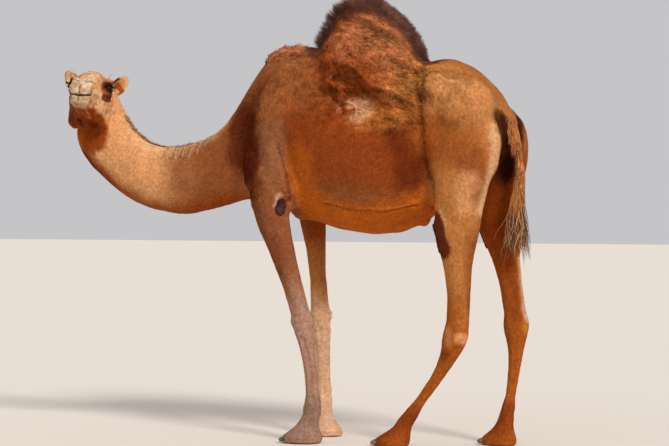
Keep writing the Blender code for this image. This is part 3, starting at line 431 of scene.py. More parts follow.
# Each marking: its colour, how strong it is, its reach, the core of its full strength, how ragged its edge
# is, whether it is on both sides, and its line in body places.
MARKINGS = (
    # Neck and throat.
    (OCHRE, 0.95, 0.30, 0.14, 0.03, 0, ((1.56, 0, 1.56), (1.42, 0, 1.38), (1.25, 0, 1.28), (1.16, 0, 1.27))),
    # Painted shade: the lower neck is darker brown.
    (BROWN, 0.80, 0.26, 0.12, 0.03, 0, ((0.98, 0, 1.28), (0.80, 0, 1.38))),
    (STRAW, 0.55, 0.12, 0.02, 0.02, 0, NAPE[:9]),
    # The throat's deep orange, red and umber: partly its own colour, partly painted shade with warm bounce
    # light.
    (DEEP_ORANGE, 0.90, 0.13, 0.045, 0.02, 0, THROAT),
    (HOOF_RED, 0.85, 0.13, 0.06, 0.02, 0, THROAT[:4]),
    (UMBER, 0.75, 0.10, 0.04, 0.02, 0, THROAT[:3]),
    # Barrel, belly and hump; the belly's orange is partly its own colour and partly painted warm bounce
    # light.
    (CHESTNUT, 0.30, 0.34, 0.10, 0.06, 1, ((0.30, 0.24, 1.62), (0.18, 0.24, 1.70), (0.02, 0.24, 1.66))),
    (RUFOUS, 0.90, 0.28, 0.12, 0.05, 1, ((0.31, 0.26, 1.42), (0.10, 0.29, 1.40), (-0.15, 0.27, 1.36))),
    (UMBER, 0.75, 0.13, 0.06, 0.04, 1, ((-0.14, 0.25, 1.52), (-0.17, 0.26, 1.40), (-0.21, 0.24, 1.24))),
    (ORANGE, 0.90, 0.24, 0.13, 0.02, 1, ((0.40, 0.10, 1.06), (0.20, 0.11, 1.00), (0.0, 0.11, 0.99),
                                         (-0.17, 0.09, 1.04))),
    (ORANGE, 0.60, 0.12, 0.03, 0.03, 1, ((0.385, 0.21, 1.33), (0.35, 0.18, 1.15))),
    (RUFOUS, 0.55, 0.22, 0.10, 0.05, 1, ((0.24, 0.14, 1.88), (0.20, 0.18, 1.78), (0.10, 0.21, 1.70),
                                         (0.0, 0.23, 1.66))),
    (PALE_WOOL, 0.65, 0.17, 0.05, 0.05, 1, ((0.14, 0.16, 1.90), (0.05, 0.15, 1.92), (-0.05, 0.17, 1.84),
                                            (-0.11, 0.15, 1.76))),
    (RUFOUS, 0.45, 0.12, 0.03, 0.05, 1, ((0.25, 0.19, 1.76), (0.20, 0.22, 1.70), (0.10, 0.24, 1.66))),
    (GOLD, 0.65, 0.10, 0.0, 0.07, 1, ((0.03, 0.27, 1.53), (-0.04, 0.266, 1.55), (-0.11, 0.256, 1.56))),
    (PALE_TAN, 0.75, 0.085, 0.02, 0.03, 1, ((-0.09, 0.20, 1.66), (-0.15, 0.17, 1.70), (-0.20, 0.11, 1.77))),
    (PALE_WOOL, 0.75, 0.11, 0.03, 0.05, 0, ((0.56, 0, 1.84), (0.48, 0, 1.88), (0.40, 0, 1.88))),
    # Croup, haunch and thigh.
    (GOLD, 0.60, 0.30, 0.08, 0.08, 1, ((-0.30, 0.20, 1.70), (-0.38, 0.20, 1.60), (-0.42, 0.2, 1.54))),
    (OCHRE, 0.45, 0.14, 0.03, 0.05, 1, ((-0.34, 0.20, 1.66), (-0.46, 0.18, 1.60), (-0.52, 0.15, 1.52))),
    (TAIL_BROWN, 0.70, 0.10, 0.02, 0.03, 0, ((-0.22, 0, 1.82), (-0.36, 0, 1.79), (-0.47, 0, 1.72),
                                             (-0.57, 0, 1.60))),
    (DEEP_ORANGE, 0.55, 0.16, 0.02, 0.05, 1, ((-0.29, 0.21, 1.46), (-0.40, 0.22, 1.42), (-0.45, 0.2, 1.32))),
    (PALE_TAN, 0.80, 0.16, 0.05, 0.04, 1, ((-0.34, 0.2, 1.22), (-0.37, 0.2, 1.08), (-0.38, 0.18, 0.93),
                                           (-0.38, 0.17, 0.78))),
    (STRAW, 0.70, 0.050, 0.006, 0.012, 1, ((-0.555, 0.13, 1.47), (-0.56, 0.13, 1.38), (-0.54, 0.14, 1.28),
                                           (-0.50, 0.16, 1.10))),
    (BROWN, 0.45, 0.06, 0.01, 0.03, 1, ((-0.47, 0.215, 1.36), (-0.46, 0.22, 1.28))),
    (OCHRE, 0.60, 0.07, 0.02, 0.02, 1, ((-0.44, 0.215, 1.24), (-0.43, 0.22, 1.12))),
    # Shoulders and forelegs.
    (CHESTNUT, 0.75, 0.11, 0.03, 0.04, 1, ((0.63, 0.14, 1.70), (0.66, 0.12, 1.58))),
    (UMBER, 0.80, 0.130, 0.065, 0.05, 1, ((0.705, 0.12, 1.49), (0.695, 0.13, 1.40), (0.680, 0.16, 1.34))),
    (UMBER, 0.80, 0.110, 0.050, 0.05, 1, ((0.640, 0.16, 1.50), (0.636, 0.175, 1.42), (0.640, 0.19, 1.34))),
    (UMBER, 0.70, 0.10, 0.03, 0.05, 1, ((0.665, 0.18, 1.30), (0.640, 0.20, 1.22))),
    (GREY_TAN, 0.70, 0.10, 0.03, 0.03, 1, ((0.54, 0.18, 1.46), (0.52, 0.20, 1.30), (0.51, 0.2, 1.20))),
    (GREY_TAN, 0.90, 0.17, 0.08, 0.04, 0, FORELEG["left"][1:5]),
    (GREY_TAN, 0.70, 0.15, 0.08, 0.04, 0, FORELEG["right"][1:5]),
    (CHESTNUT, 0.55, 0.15, 0.05, 0.07, 0, ((0.57, 0.17, 1.12), (0.54, 0.17, 0.98), (0.515, 0.165, 0.88))),
    # Painted shade with warm bounce light on the top of the right foreleg.
    (DEEP_ORANGE, 0.85, 0.14, 0.06, 0.05, 0, ((0.45, -0.14, 1.10), (0.44, -0.13, 0.90))),
    (PALE_TAN, 0.60, 0.14, 0.04, 0.05, 0, ((0.45, -0.14, 0.84), (0.44, -0.13, 0.74))),
    (PALE_PINK, 0.90, 0.30, 0.10, 0.05, 0, ((0.40, 0.16, 0.50), (0.35, 0.16, 0.4), (0.336, 0.155, 0.17),
                                            (0.39, 0.155, 0.02))),
    (GREY_PINK, 0.80, 0.15, 0.06, 0.04, 0, ((0.345, 0.155, 0.14), (0.39, 0.155, 0.06), (0.44, 0.155, 0.03))),
    (PALE_LEG, 0.75, 0.050, 0.016, 0.02, 0, ((0.56, 0.13, 0.90), (0.49, 0.13, 0.74), (0.435, 0.12, 0.56),
                                             (0.385, 0.12, 0.36), (0.375, 0.12, 0.2))),
    (PALE_LEG, 0.90, 0.30, 0.10, 0.05, 0, ((0.43, -0.165, 0.46), (0.41, -0.16, 0.4), (0.405, -0.16, 0.17),
                                           (0.41, -0.165, 0.02))),
    # Hind legs.
    (HOCK_GOLD, 0.85, 0.30, 0.08, 0.05, 0, HINDLEG["left"][3:]),
    (HOCK_GOLD, 0.80, 0.26, 0.08, 0.05, 0, HINDLEG["right"][1:]),
    # Painted shade with warm bounce light on the inside of the right thigh.
    (HOOF_RED, 0.90, 0.18, 0.09, 0.03, 0, ((-0.50, -0.05, 1.30), (-0.49, -0.05, 1.12))),
    (DEEP_ORANGE, 0.80, 0.16, 0.06, 0.03, 0, ((-0.50, -0.06, 1.06), (-0.53, -0.06, 0.90))),
    # Painted shadow in the gap between the tail and the right thigh.
    (UMBER, 0.90, 0.10, 0.05, 0.02, 0, ((-0.56, -0.01, 1.38), (-0.54, -0.02, 1.27))),
    (PALE_TAN, 0.45, 0.06, 0.01, 0.03, 0, ((-0.40, 0.17, 0.72), (-0.41, 0.17, 0.58))),
    (CHESTNUT, 0.60, 0.050, 0.015, 0.02, 0, ((-0.455, 0.165, 0.95), (-0.455, 0.15, 0.82),
                                             (-0.45, 0.14, 0.66))),
    # A painted highlight on the left hock, then painted shade below it.
    (OCHRE, 0.75, 0.034, 0.010, 0.012, 0, ((-0.392, 0.166, 0.515), (-0.425, 0.129, 0.504))),
    (CHESTNUT, 0.60, 0.032, 0.008, 0.012, 0, ((-0.330, 0.162, 0.45), (-0.310, 0.162, 0.425))),
    (OCHRE, 0.40, 0.030, 0.006, 0.012, 0, ((-0.335, 0.175, 0.56), (-0.345, 0.172, 0.50))),
    (CHESTNUT, 0.50, 0.040, 0.010, 0.015, 0, ((-0.560, -0.095, 0.84), (-0.575, -0.085, 0.70),
                                              (-0.595, -0.075, 0.60))),
    # A painted highlight along the rear of the right hind leg.
    (PALE_LEG, 0.80, 0.034, 0.012, 0.012, 0, ((-0.595, -0.140, 0.86), (-0.618, -0.130, 0.71),
                                              (-0.636, -0.110, 0.60))),
    (GOLD, 0.70, 0.035, 0.015, 0.012, 0, ((-0.648, -0.095, 0.57), (-0.640, -0.095, 0.54))),
    (HOOF_RED, 0.75, 0.11, 0.05, 0.03, 0, ((-0.12, 0.12, 0.13), (-0.05, 0.12, 0.07), (0.02, 0.12, 0.03))),
    (HOOF_RED, 0.75, 0.10, 0.05, 0.03, 0, ((-0.545, -0.105, 0.15), (-0.50, -0.105, 0.08))),
    # Stifles, the gaps beside the tail with painted shadow in them, rubbed patches, the rims of the elbow
    # calluses, crest and tail.
    (UMBER, 0.94, 0.062, 0.044, 0.008, 1, ((-0.282, 0.187, 1.045), (-0.294, 0.187, 0.985),
                                           (-0.310, 0.183, 0.925))),
    (STRAW, 0.65, 0.018, 0.005, 0.005, 1, ((-0.318, 0.20, 1.095), (-0.340, 0.20, 1.040), (-0.352, 0.19, 0.98),
                                           (-0.364, 0.18, 0.915))),
    (SOOT, 0.92, 0.050, 0.024, 0.008, 1, ((-0.568, 0.100, 1.535), (-0.582, 0.093, 1.49),
                                          (-0.588, 0.070, 1.43), (-0.575, 0.045, 1.36),
                                          (-0.55, 0.035, 1.26))),
    (HIDE_PALE, 0.85, 0.050, 0.020, 0.012, 0, ((0.105, 0.235, 1.602), (0.055, 0.238, 1.600),
                                               (0.03, 0.255, 1.558), (0.075, 0.262, 1.535))),
    (HIDE_PALE, 0.80, 0.016, 0.006, 0.006, 0, ((0.190, 0.236, 1.585), (0.170, 0.245, 1.560))),
    (UMBER, 0.80, 0.016, 0.006, 0.006, 0, ((0.172, 0.236, 1.590), (0.152, 0.247, 1.565))),
    (PALE_LEG, 0.75, 0.014, 0.006, 0.003, 1, ((0.476, 0.20, 1.168), (0.500, 0.20, 1.158),
                                              (0.513, 0.20, 1.125), (0.508, 0.20, 1.090))),
    (CREST_BROWN, 0.97, 0.140, 0.100, 0.05, 0, CREST),
    (TAIL_BROWN, 0.85, 0.045, 0.028, 0.008, 0, TAIL[1:]),
)
# The same for the head, in head places.
HEAD_MARKINGS = (
    # Face, throat and jaw.
    (OCHRE, 0.95, 0.26, 0.20, 0.02, 0, ((0.10, 0, 0.02), (0.46, 0, 0))),
    (STRAW, 0.85, 0.085, 0.04, 0.02, 0, ((0.47, 0, 0.07), (0.40, 0, 0.10), (0.30, 0, 0.13), (0.22, 0, 0.15),
                                         (0.12, 0, 0.15))),
    (BROWN, 0.45, 0.035, 0.008, 0.015, 1, ((0.27, 0.066, 0.112), (0.215, 0.066, 0.135))),
    (STRAW, 0.85, 0.075, 0.03, 0.02, 1, ((0.35, 0.060, 0.01), (0.27, 0.078, -0.01), (0.21, 0.09, -0.03))),
    # The deep orange and red under the jaw: partly its own colour, partly painted shade with warm bounce
    # light.
    (DEEP_ORANGE, 1.00, 0.055, 0.038, 0.008, 0, ((0.41, 0, -0.075), (0.33, 0, -0.080))),
    (DEEP_ORANGE, 1.00, 0.084, 0.066, 0.008, 0, ((0.32, 0, -0.088), (0.22, 0, -0.105))),
    (DEEP_ORANGE, 1.00, 0.112, 0.090, 0.010, 0, ((0.21, 0, -0.116), (0.10, 0, -0.14))),
    (HOOF_RED, 0.90, 0.075, 0.035, 0.015, 0, ((0.27, -0.01, -0.115), (0.12, 0.01, -0.140))),
    (UMBER, 0.75, 0.040, 0.010, 0.010, 0, ((0.24, 0.03, -0.112), (0.17, 0.045, -0.118))),
    (UMBER, 0.80, 0.045, 0.012, 0.010, 0, ((0.24, -0.035, -0.105), (0.17, -0.04, -0.115))),
    # Painted shade on the right cheek.
    (HOOF_RED, 0.75, 0.080, 0.035, 0.015, 0, ((0.32, -0.075, -0.02), (0.22, -0.10, -0.02),
                                              (0.16, -0.10, -0.07))),
    # A painted highlight along the ridge under the lower jaw on the left, and a fainter one on the right.
    (GOLD, 0.80, 0.0150, 0.003, 0.006, 0, ((0.413, 0.029, -0.047), (0.360, 0.027, -0.056),
                                           (0.307, 0.027, -0.065), (0.275, 0.030, -0.074))),
    (GOLD, 0.30, 0.0150, 0.003, 0.006, 0, ((0.400, -0.029, -0.050), (0.340, -0.027, -0.060))),
    (OCHRE, 0.70, 0.05, 0.02, 0.01, 1, ((0.14, 0.10, 0.03), (0.10, 0.10, -0.02))),
    # Muzzle, eyes, the painted shadow in the hollow under the jaw, and the chin.
    (CREAM, 0.97, 0.085, 0.060, 0.010, 0, ((0.50, 0, 0.045), (0.485, 0, -0.020))),
    (CREAM, 0.85, 0.065, 0.030, 0.012, 0, ((0.43, 0, 0.085), (0.37, 0, 0.11))),
    (UMBER, 0.95, 0.050, 0.030, 0.006, 1, ((0.190, 0.094, 0.078), (0.228, 0.088, 0.076))),
    (SOOT, 0.97, 0.034, 0.028, 0.004, 1, ((0.196, 0.092, 0.076), (0.214, 0.090, 0.076))),
    (SOOT, 0.80, 0.020, 0.008, 0.004, 0, ((0.248, -0.028, -0.087), (0.215, -0.033, -0.092))),
    (BROWN, 0.75, 0.024, 0.010, 0.006, 1, ((0.252, 0.078, 0.050), (0.230, 0.090, 0.050),
                                           (0.200, 0.098, 0.046))),
    (UMBER, 0.97, 0.0205, 0.0140, 0.005, 1, ((0.250, 0.078, 0.031), (0.215, 0.094, 0.028),
                                             (0.182, 0.102, 0.034))),
    # More painted shade lower on the right cheek.
    (UMBER, 0.75, 0.070, 0.025, 0.012, 0, ((0.31, -0.066, 0.0), (0.26, -0.080, -0.03),
                                           (0.20, -0.092, -0.06))),
    (PALE_CHIN, 0.85, 0.060, 0.030, 0.012, 0, ((0.485, 0, -0.035), (0.45, 0, -0.050))),
    # Painted shade on the right lobe of the upper lip.
    (GREY_PINK, 0.45, 0.050, 0.025, 0.008, 0, ((0.485, -0.040, 0.045), (0.470, -0.045, 0.010))),
    # Ears, with painted shadow in the slit of each ear's opening.
    (OCHRE, 0.80, 0.060, 0.030, 0.010, 1, ((0.034, 0.130, 0.150), (0.03, 0.150, 0.175))),
    (DEEP_ORANGE, 0.90, 0.030, 0.012, 0.006, 1, ((0.014, 0.100, 0.122), (0.010, 0.112, 0.110),
                                                 (0.008, 0.120, 0.100))),
    (STRAW, 0.85, 0.022, 0.010, 0.006, 1, ((0.036, 0.115, 0.170), (0.030, 0.135, 0.174),
                                           (0.018, 0.152, 0.152), (0.012, 0.150, 0.125))),
    (SOOT, 0.85, 0.0125, 0.006, 0.003, 1, ((0.044, 0.080, 0.130), (0.040, 0.093, 0.145),
                                           (0.036, 0.104, 0.155))),
)


def coat_colours(points, normals):
    """The colour of skin and coat at each point."""
    colour = np.tile(SAND, (len(points), 1))
    ragged = 0.6 * grain3(points, 0.09, 3) + 0.4 * grain3(points, 0.028, 7)
    for marks, place in ((MARKINGS, body), (HEAD_MARKINGS, head)):
        for tint, strength, reach, core, edge, paired, line in marks:
            for one in both(line) if paired else [line]:
                colour = mix(colour, tint, strength * near(points + ragged * edge, place(one), reach, core))
    # Freckles on the muzzle, and brown and cream patches over the face.
    jaw = ((0.43, 0.056, 0.0), (0.38, 0.062, 0.01), (0.34, 0.062, 0.0))
    freckles = ease((grain(points, 0.0058, 11) - 0.34) * 6.0) * near_both(points, head, jaw, 0.055, 0.02)
    colour = mix(colour, UMBER, 0.82 * freckles)
    face = near(points, head(((0.20, 0.0, 0.05), (0.40, 0.0, 0.03))), 0.15, 0.12)
    colour = mix(colour, BROWN, 0.45 * face * ease((grain(points, 0.020, 191) - 0.15) * 2.5))
    cream = ease((grain(points, 0.016, 193) - 0.25) * 2.5) * (colour[:, 0] > 0.35)
    colour = mix(colour, CREAM, 0.35 * face * cream)
    # Mottling in large, middle and small lumps, stronger on the wool, whose pale ridges and dark crevices are
    # painted light and painted shade over its relief.
    woolly = wool_share(points)
    tone = 0.07 * grain(points, 0.11, 13) + (0.07 + 0.10 * woolly) * grain(points, 0.035, 17)
    tone += (0.05 + 0.14 * woolly) * grain(points, 0.012, 19)
    ridge, fine = ropes(points)
    strength = np.where(ridge > 0, 0.60, 0.36)
    tone += woolly * (strength * ridge + 0.18 * fine + 0.16 * grain(points, 0.014, 175))
    # Light and dark streaks down the legs.
    low = ease((0.95 - points[:, 2]) / 0.3)
    broad = grain(points * (1, 1, 0.35), 0.041, 183)
    tone += low * (0.06 * grain(points * (1, 1, 0.45), 0.012, 181) + 0.04 * broad)
    # Small dark and pale curls over the shoulder, the flank below the wool, and the top of the haunch.
    flank = ((0.36, 0.18, 1.72), (0.20, 0.22, 1.66), (0.05, 0.23, 1.60), (-0.10, 0.23, 1.58))
    haunch = ((-0.26, 0.16, 1.70), (-0.36, 0.17, 1.64))
    curly = near_both(points, body, flank, 0.26, 0.10)
    curly = np.maximum(curly, 0.9 * near_both(points, body, haunch, 0.22, 0.06)) * (1 - 0.6 * woolly)
    curls = np.clip(1 - 2.6 * np.abs(grain(points, 0.017, 171)), 0, 1)
    tone += curly * (0.20 - 0.62 * curls + 0.14 * grain(points, 0.010, 173))
    # The hair's own streaks, drawn out along its lie, and stronger on the upper neck.
    way = lie(points, normals)
    streak = sum(grain(points + way * (0.007 * step), 0.009, 151) for step in range(-2, 3)) / 2.2
    tone += (0.09 + 0.07 * near(points, body(((1.55, 0.03, 1.50), (1.45, 0, 1.40))), 0.20, 0.10)) * streak
    warmth = 0.06 * grain(points, 0.07, 23)[:, None] * np.array((0.4, 0.0, -1.0))
    return np.clip(colour * (1.0 + tone[:, None]) * (1.0 + warmth), 0.002, 0.95)


def wool_share(points):
    """Where the coat is matted wool: the hump's sides, the upper flanks and the withers."""
    hump = ((0.22, 0.15, 1.90), (0.08, 0.17, 1.88), (-0.03, 0.19, 1.80), (-0.12, 0.17, 1.72))
    flank = ((0.20, 0.22, 1.68), (0.05, 0.24, 1.64), (-0.10, 0.24, 1.58))
    withers = ((0.55, 0, 1.85), (0.42, 0, 1.90))
    share = near_both(points, body, hump, 0.20, 0.09)
    share = np.maximum(share, 0.8 * near_both(points, body, flank, 0.15, 0.05))
    return np.maximum(share, 0.8 * near(points, body(withers), 0.13, 0.05))


def crest_share(points):
    """Where the dark crest of the hump grows."""
    return near(points, body(CREST), 0.140, 0.100)


def ropes(points):
    """The matted ropes of the wool, from their crevices at -1 to their ridges at 1, and their finer curls."""
    local = points - BODY
    bent = local + 0.030 * grain3(points, 0.09, 43) + 0.012 * grain3(points, 0.03, 47)
    # The pattern runs down and back, stretched along its way.
    x, y, z = bent.T
    slope = np.stack([0.5 * x - 0.87 * z, y * 0.4, 0.26 * (0.87 * x + 0.5 * z)], axis=1)
    ridge = np.clip(1.0 - 2.8 * np.abs(grain(slope, 0.046, 53)), -1.0, 1.0)
    fine = np.clip(1.0 - 2.4 * np.abs(grain(bent, 0.018, 59)), -1.0, 1.0)
    return ridge, fine


# ---------------------------------------------------------------------- lie of the coat
def lie_guides():
    """Places and directions of the coat's lie, along lines from head to tail and down the legs."""
    lines = [body(((1.56, 0.01, 1.58), (1.50, 0, 1.42), (1.36, 0, 1.30), (1.15, 0, 1.24), (0.95, 0, 1.27),
                   (0.80, 0, 1.34), (0.68, 0, 1.42)))]
    for row in (
        ((0.70, 0.10, 1.60), (0.60, 0.15, 1.66), (0.45, 0.16, 1.68), (0.20, 0.22, 1.66), (-0.05, 0.23, 1.62),
         (-0.22, 0.2, 1.58)),
        ((0.66, 0.16, 1.42), (0.50, 0.19, 1.38), (0.25, 0.26, 1.40), (0.0, 0.28, 1.36), (-0.22, 0.25, 1.32)),
        ((0.60, 0.17, 1.24), (0.40, 0.2, 1.18), (0.20, 0.22, 1.12), (0.0, 0.23, 1.12), (-0.20, 0.18, 1.12)),
        ((0.42, 0.04, 1.05), (0.20, 0.06, 0.99), (0.0, 0.06, 0.985), (-0.18, 0.06, 1.05)),
        ((0.55, 0.04, 1.87), (0.42, 0.04, 1.89), (0.33, 0.10, 1.86), (0.10, 0.20, 1.80), (-0.12, 0.15, 1.78)),
        ((-0.22, 0.05, 1.81), (-0.40, 0.06, 1.77), (-0.52, 0.07, 1.66), (-0.58, 0.08, 1.52),
         (-0.55, 0.1, 1.3)),
        ((-0.27, 0.17, 1.70), (-0.38, 0.2, 1.60), (-0.42, 0.21, 1.45), (-0.42, 0.21, 1.2)),
        ((0.62, 0.16, 1.62), (0.60, 0.18, 1.45), (0.54, 0.19, 1.28), (0.52, 0.18, 1.15)),
    ):
        lines += [body(line) for line in both(row)]
    lines += [body(line) for line in (*FORELEG.values(), *HINDLEG.values(), TAIL)]
    for row in (
        ((0.50, 0.02, 0.03), (0.42, 0.03, 0.09), (0.30, 0.03, 0.13), (0.15, 0.03, 0.17), (0.02, 0.02, 0.14)),
        ((0.49, 0.03, 0.02), (0.40, 0.055, 0.03), (0.28, 0.07, 0.03), (0.18, 0.10, 0.02), (0.06, 0.10, 0.01)),
        ((0.48, 0.02, -0.045), (0.38, 0.03, -0.07), (0.25, 0.05, -0.09), (0.12, 0.06, -0.12)),
        ((0.035, 0.095, 0.10), (0.03, 0.15, 0.18)),
    ):
        lines += [head(line) for line in both(row)]
    places, ways = [], []
    for line in lines:
        for start, end in zip(line[:-1], line[1:]):
            count = max(1, int(np.linalg.norm(end - start) / 0.06))
            for share in (np.arange(count) + 0.5) / count:
                places.append(start + (end - start) * share)
                ways.append((end - start) / np.linalg.norm(end - start))
    return np.array(places), np.array(ways)


GUIDE_PLACES, GUIDE_WAYS = lie_guides()
# The wool hangs down and back.
WOOL_WAY = np.array((-0.87, 0.0, -0.50))


def lie(points, normals, swirl=0.35):
    """The way the hair lies at each point, along the surface."""
    way = np.empty_like(points)
    for start in range(0, len(points), 20000):
        part = slice(start, start + 20000)
        gap = ((points[part, None, :] - GUIDE_PLACES[None]) ** 2).sum(axis=2)
        weight = 1.0 / (gap + 0.0009) ** 2
        way[part] = weight @ GUIDE_WAYS / weight.sum(axis=1, keepdims=True)
    way = unit(way) + swirl * grain3(points, 0.06, 31) + 0.5 * swirl * grain3(points, 0.02, 37)
    woolly = wool_share(points)[:, None]
    way = mix(way, WOOL_WAY, 0.8 * woolly[:, 0]) + 0.7 * woolly * grain3(points, 0.035, 41)
    way -= normals * (way * normals).sum(axis=1, keepdims=True)
    return unit(way)


# ---------------------------------------------------------------------- materials
def node_of(tree, kind, **values):
    made = tree.nodes.new(kind)
    for key, value in values.items():
        if key in made.inputs:
            made.inputs[key].default_value = value
        else:
            setattr(made, key, value)
    return made


def grain_group():
    """A shader group that breaks a colour up into fine streaks and lumps, and gives a height for the bump."""
    tree = bpy.data.node_groups.new("hide_grain", "ShaderNodeTree")
    face = tree.interface
    for name, kind, value in (
        ("Colour", "NodeSocketColor", (0.5, 0.3, 0.2, 1)), ("Fine", "NodeSocketFloat", 400.0),
        ("Coarse", "NodeSocketFloat", 60.0), ("Depth", "NodeSocketFloat", 0.2),
    ):
        face.new_socket(name, in_out="INPUT", socket_type=kind).default_value = value
    face.new_socket("Colour", in_out="OUTPUT", socket_type="NodeSocketColor")
    face.new_socket("Height", in_out="OUTPUT", socket_type="NodeSocketFloat")
    into, out = tree.nodes.new("NodeGroupInput"), tree.nodes.new("NodeGroupOutput")
    where = tree.nodes.new("ShaderNodeTexCoord")
    link = tree.links.new
    fine = node_of(tree, "ShaderNodeTexNoise", Detail=4.0, Roughness=0.65)
    coarse = node_of(tree, "ShaderNodeTexNoise", Detail=3.0, Roughness=0.55)
    for noise, size in ((fine, "Fine"), (coarse, "Coarse")):
        link(where.outputs["Object"], noise.inputs["Vector"])
        link(into.outputs[size], noise.inputs["Scale"])
    height = node_of(tree, "ShaderNodeMath", operation="ADD")
    link(fine.outputs["Fac"], height.inputs[0])
    link(coarse.outputs["Fac"], height.inputs[1])
    tone = node_of(tree, "ShaderNodeMapRange")
    tone.inputs["From Min"].default_value, tone.inputs["From Max"].default_value = 0.6, 1.4
    link(height.outputs[0], tone.inputs["Value"])
    low = node_of(tree, "ShaderNodeMath", operation="SUBTRACT")
    low.inputs[0].default_value = 1.0
    link(into.outputs["Depth"], low.inputs[1])
    high = node_of(tree, "ShaderNodeMath", operation="ADD")
    high.inputs[0].default_value = 1.0
    link(into.outputs["Depth"], high.inputs[1])
    link(low.outputs[0], tone.inputs["To Min"])
    link(high.outputs[0], tone.inputs["To Max"])
    shade = node_of(tree, "ShaderNodeVectorMath", operation="SCALE")
    link(into.outputs["Colour"], shade.inputs[0])
    link(tone.outputs["Result"], shade.inputs["Scale"])
    link(shade.outputs[0], out.inputs["Colour"])
    link(height.outputs[0], out.inputs["Height"])
    return tree


HIDE_GRAIN = grain_group()


def hide_material(name, fine, coarse, depth, bump=0.4, bump_height=0.0015, rough=0.82, specular=0.25):
    """A material whose colour is the piece's own coat colour, broken up by the grain."""
    material = bpy.data.materials.new(name)
    material.use_nodes = True
    tree = material.node_tree
    shader = tree.nodes["Principled BSDF"]
    shader.inputs["Roughness"].default_value = rough
    shader.inputs["Specular IOR Level"].default_value = specular
    group = tree.nodes.new("ShaderNodeGroup")
    group.node_tree = HIDE_GRAIN
    group.inputs["Fine"].default_value, group.inputs["Coarse"].default_value = fine, coarse
    group.inputs["Depth"].default_value = depth
    coat = node_of(tree, "ShaderNodeAttribute", attribute_name="coat")
    tree.links.new(coat.outputs["Color"], group.inputs["Colour"])
    tree.links.new(group.outputs["Colour"], shader.inputs["Base Color"])
    if bump:
        relief = node_of(tree, "ShaderNodeBump", Strength=bump, Distance=bump_height)
        tree.links.new(group.outputs["Height"], relief.inputs["Height"])
        tree.links.new(relief.outputs["Normal"], shader.inputs["Normal"])
    return material


def paint(mesh, colours):
    """Stores a colour for each vertex."""
    layer = mesh.color_attributes.new("coat", "FLOAT_COLOR", "POINT")
    rgba = np.ones((len(mesh.vertices), 4), np.float32)
    rgba[:, :3] = colours
    layer.data.foreach_set("color", rgba.ravel())


def smooth(mesh):
    mesh.polygons.foreach_set("use_smooth", np.ones(len(mesh.polygons), bool))


def finish_piece(obj, material, nodes=()):
    """Gives a piece its material and its body, and hides the CAD nodes that it stands for."""
    obj.data.materials.clear()
    obj.data.materials.append(material)
    smooth(obj.data)
    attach(obj, "root")
    if nodes:
        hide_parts(*nodes)
    return obj


# ---------------------------------------------------------------------- the skin
def coat_depth(points):
    """How deep the coat is over the skin, from its tips."""
    depth = np.full((len(points), 1), 0.0042) + 0.005 * wool_share(points)[:, None]
    depth = mix(depth, 0.0030, ease((0.95 - points[:, 2]) / 0.25))
    depth = mix(depth, 0.0024, near(points, head(((0.0, 0, 0.02), (0.48, 0, 0.0))), 0.26, 0.16))[:, 0]
    depth += 0.026 * near(points, body(CREST), 0.085, 0.030)
    depth += 0.007 * near(points, body(NAPE[1:9]), 0.035, 0.010)
    depth += 0.004 * near(points, body(((0.70, 0.13, 1.46), (0.65, 0.18, 1.30))), 0.12, 0.04)
    depth += 0.013 * near(points, body(TAIL[2:]), 0.060, 0.045)
    return depth


# How far an ear's edges are bent round, in radians each way.
EAR_BEND = 1.45


def ear_shell(side):
    """A short rounded ear: a cupped leaf with a thick rim, open forward and outward."""
    bm = bmesh.new()
    out = 0.0 if side > 0 else -0.012
    root, tip = np.array((0.034, side * 0.090 + out, 0.086)), np.array((0.026, side * 0.148 + out, 0.176))
    along = tip - root
    length = np.linalg.norm(along)
    along = along / length
    fore = np.array((0.82, side * 0.50, 0.0))
    fore = fore - along * (fore @ along)
    fore /= np.linalg.norm(fore)
    across = np.cross(along, fore)
    loops = []
    for share, width, cup in (
        (-0.25, 0.018, 0.006), (0.0, 0.025, 0.017), (0.16, 0.032, 0.023), (0.36, 0.037, 0.024),
        (0.56, 0.036, 0.020), (0.75, 0.030, 0.013), (0.90, 0.020, 0.007), (0.985, 0.008, 0.001),
    ):
        row = []
        for turn in np.linspace(-1.0, 1.0, 11):
            place = root + along * (length * share - 0.006 * abs(turn) ** 3 * share)
            place = place + across * width * math.sin(turn * EAR_BEND) / math.sin(EAR_BEND)
            place = place - fore * cup * math.cos(turn * EAR_BEND)
            row.append(bm.verts.new(head(place)[0]))
        loops.append(row)
    for row, following in zip(loops, loops[1:]):
        for a, b, c, d in zip(row, row[1:], following[1:], following):
            bm.faces.new((a, b, c, d))
    bmesh.ops.recalc_face_normals(bm, faces=bm.faces)
    shell = new_object("ear_shell", bm)
    modify(shell, "SOLIDIFY", thickness=0.0075, offset=0.0, use_rim=True)
    modify(shell, "SUBSURF", levels=1, render_levels=1)
    return shell


def add_ear_root(bm, name):
    """Adds only the root of the solid ear, as the rest is modelled finer."""
    stub = bmesh.new()
    copy_node(stub, "ear_" + name)
    place = head((0.032, SIDES[name] * 0.105, 0.108))[0]
    way = head((0.028, SIDES[name] * 0.150, 0.178))[0] - place
    everything = stub.verts[:] + stub.edges[:] + stub.faces[:]
    cut = bmesh.ops.bisect_plane(stub, geom=everything, plane_co=place, plane_no=way, clear_outer=True)
    rim = [item for item in cut["geom_cut"] if isinstance(item, bmesh.types.BMEdge)]
    bmesh.ops.holes_fill(stub, edges=rim, sides=0)
    add_mesh(bm, stub)


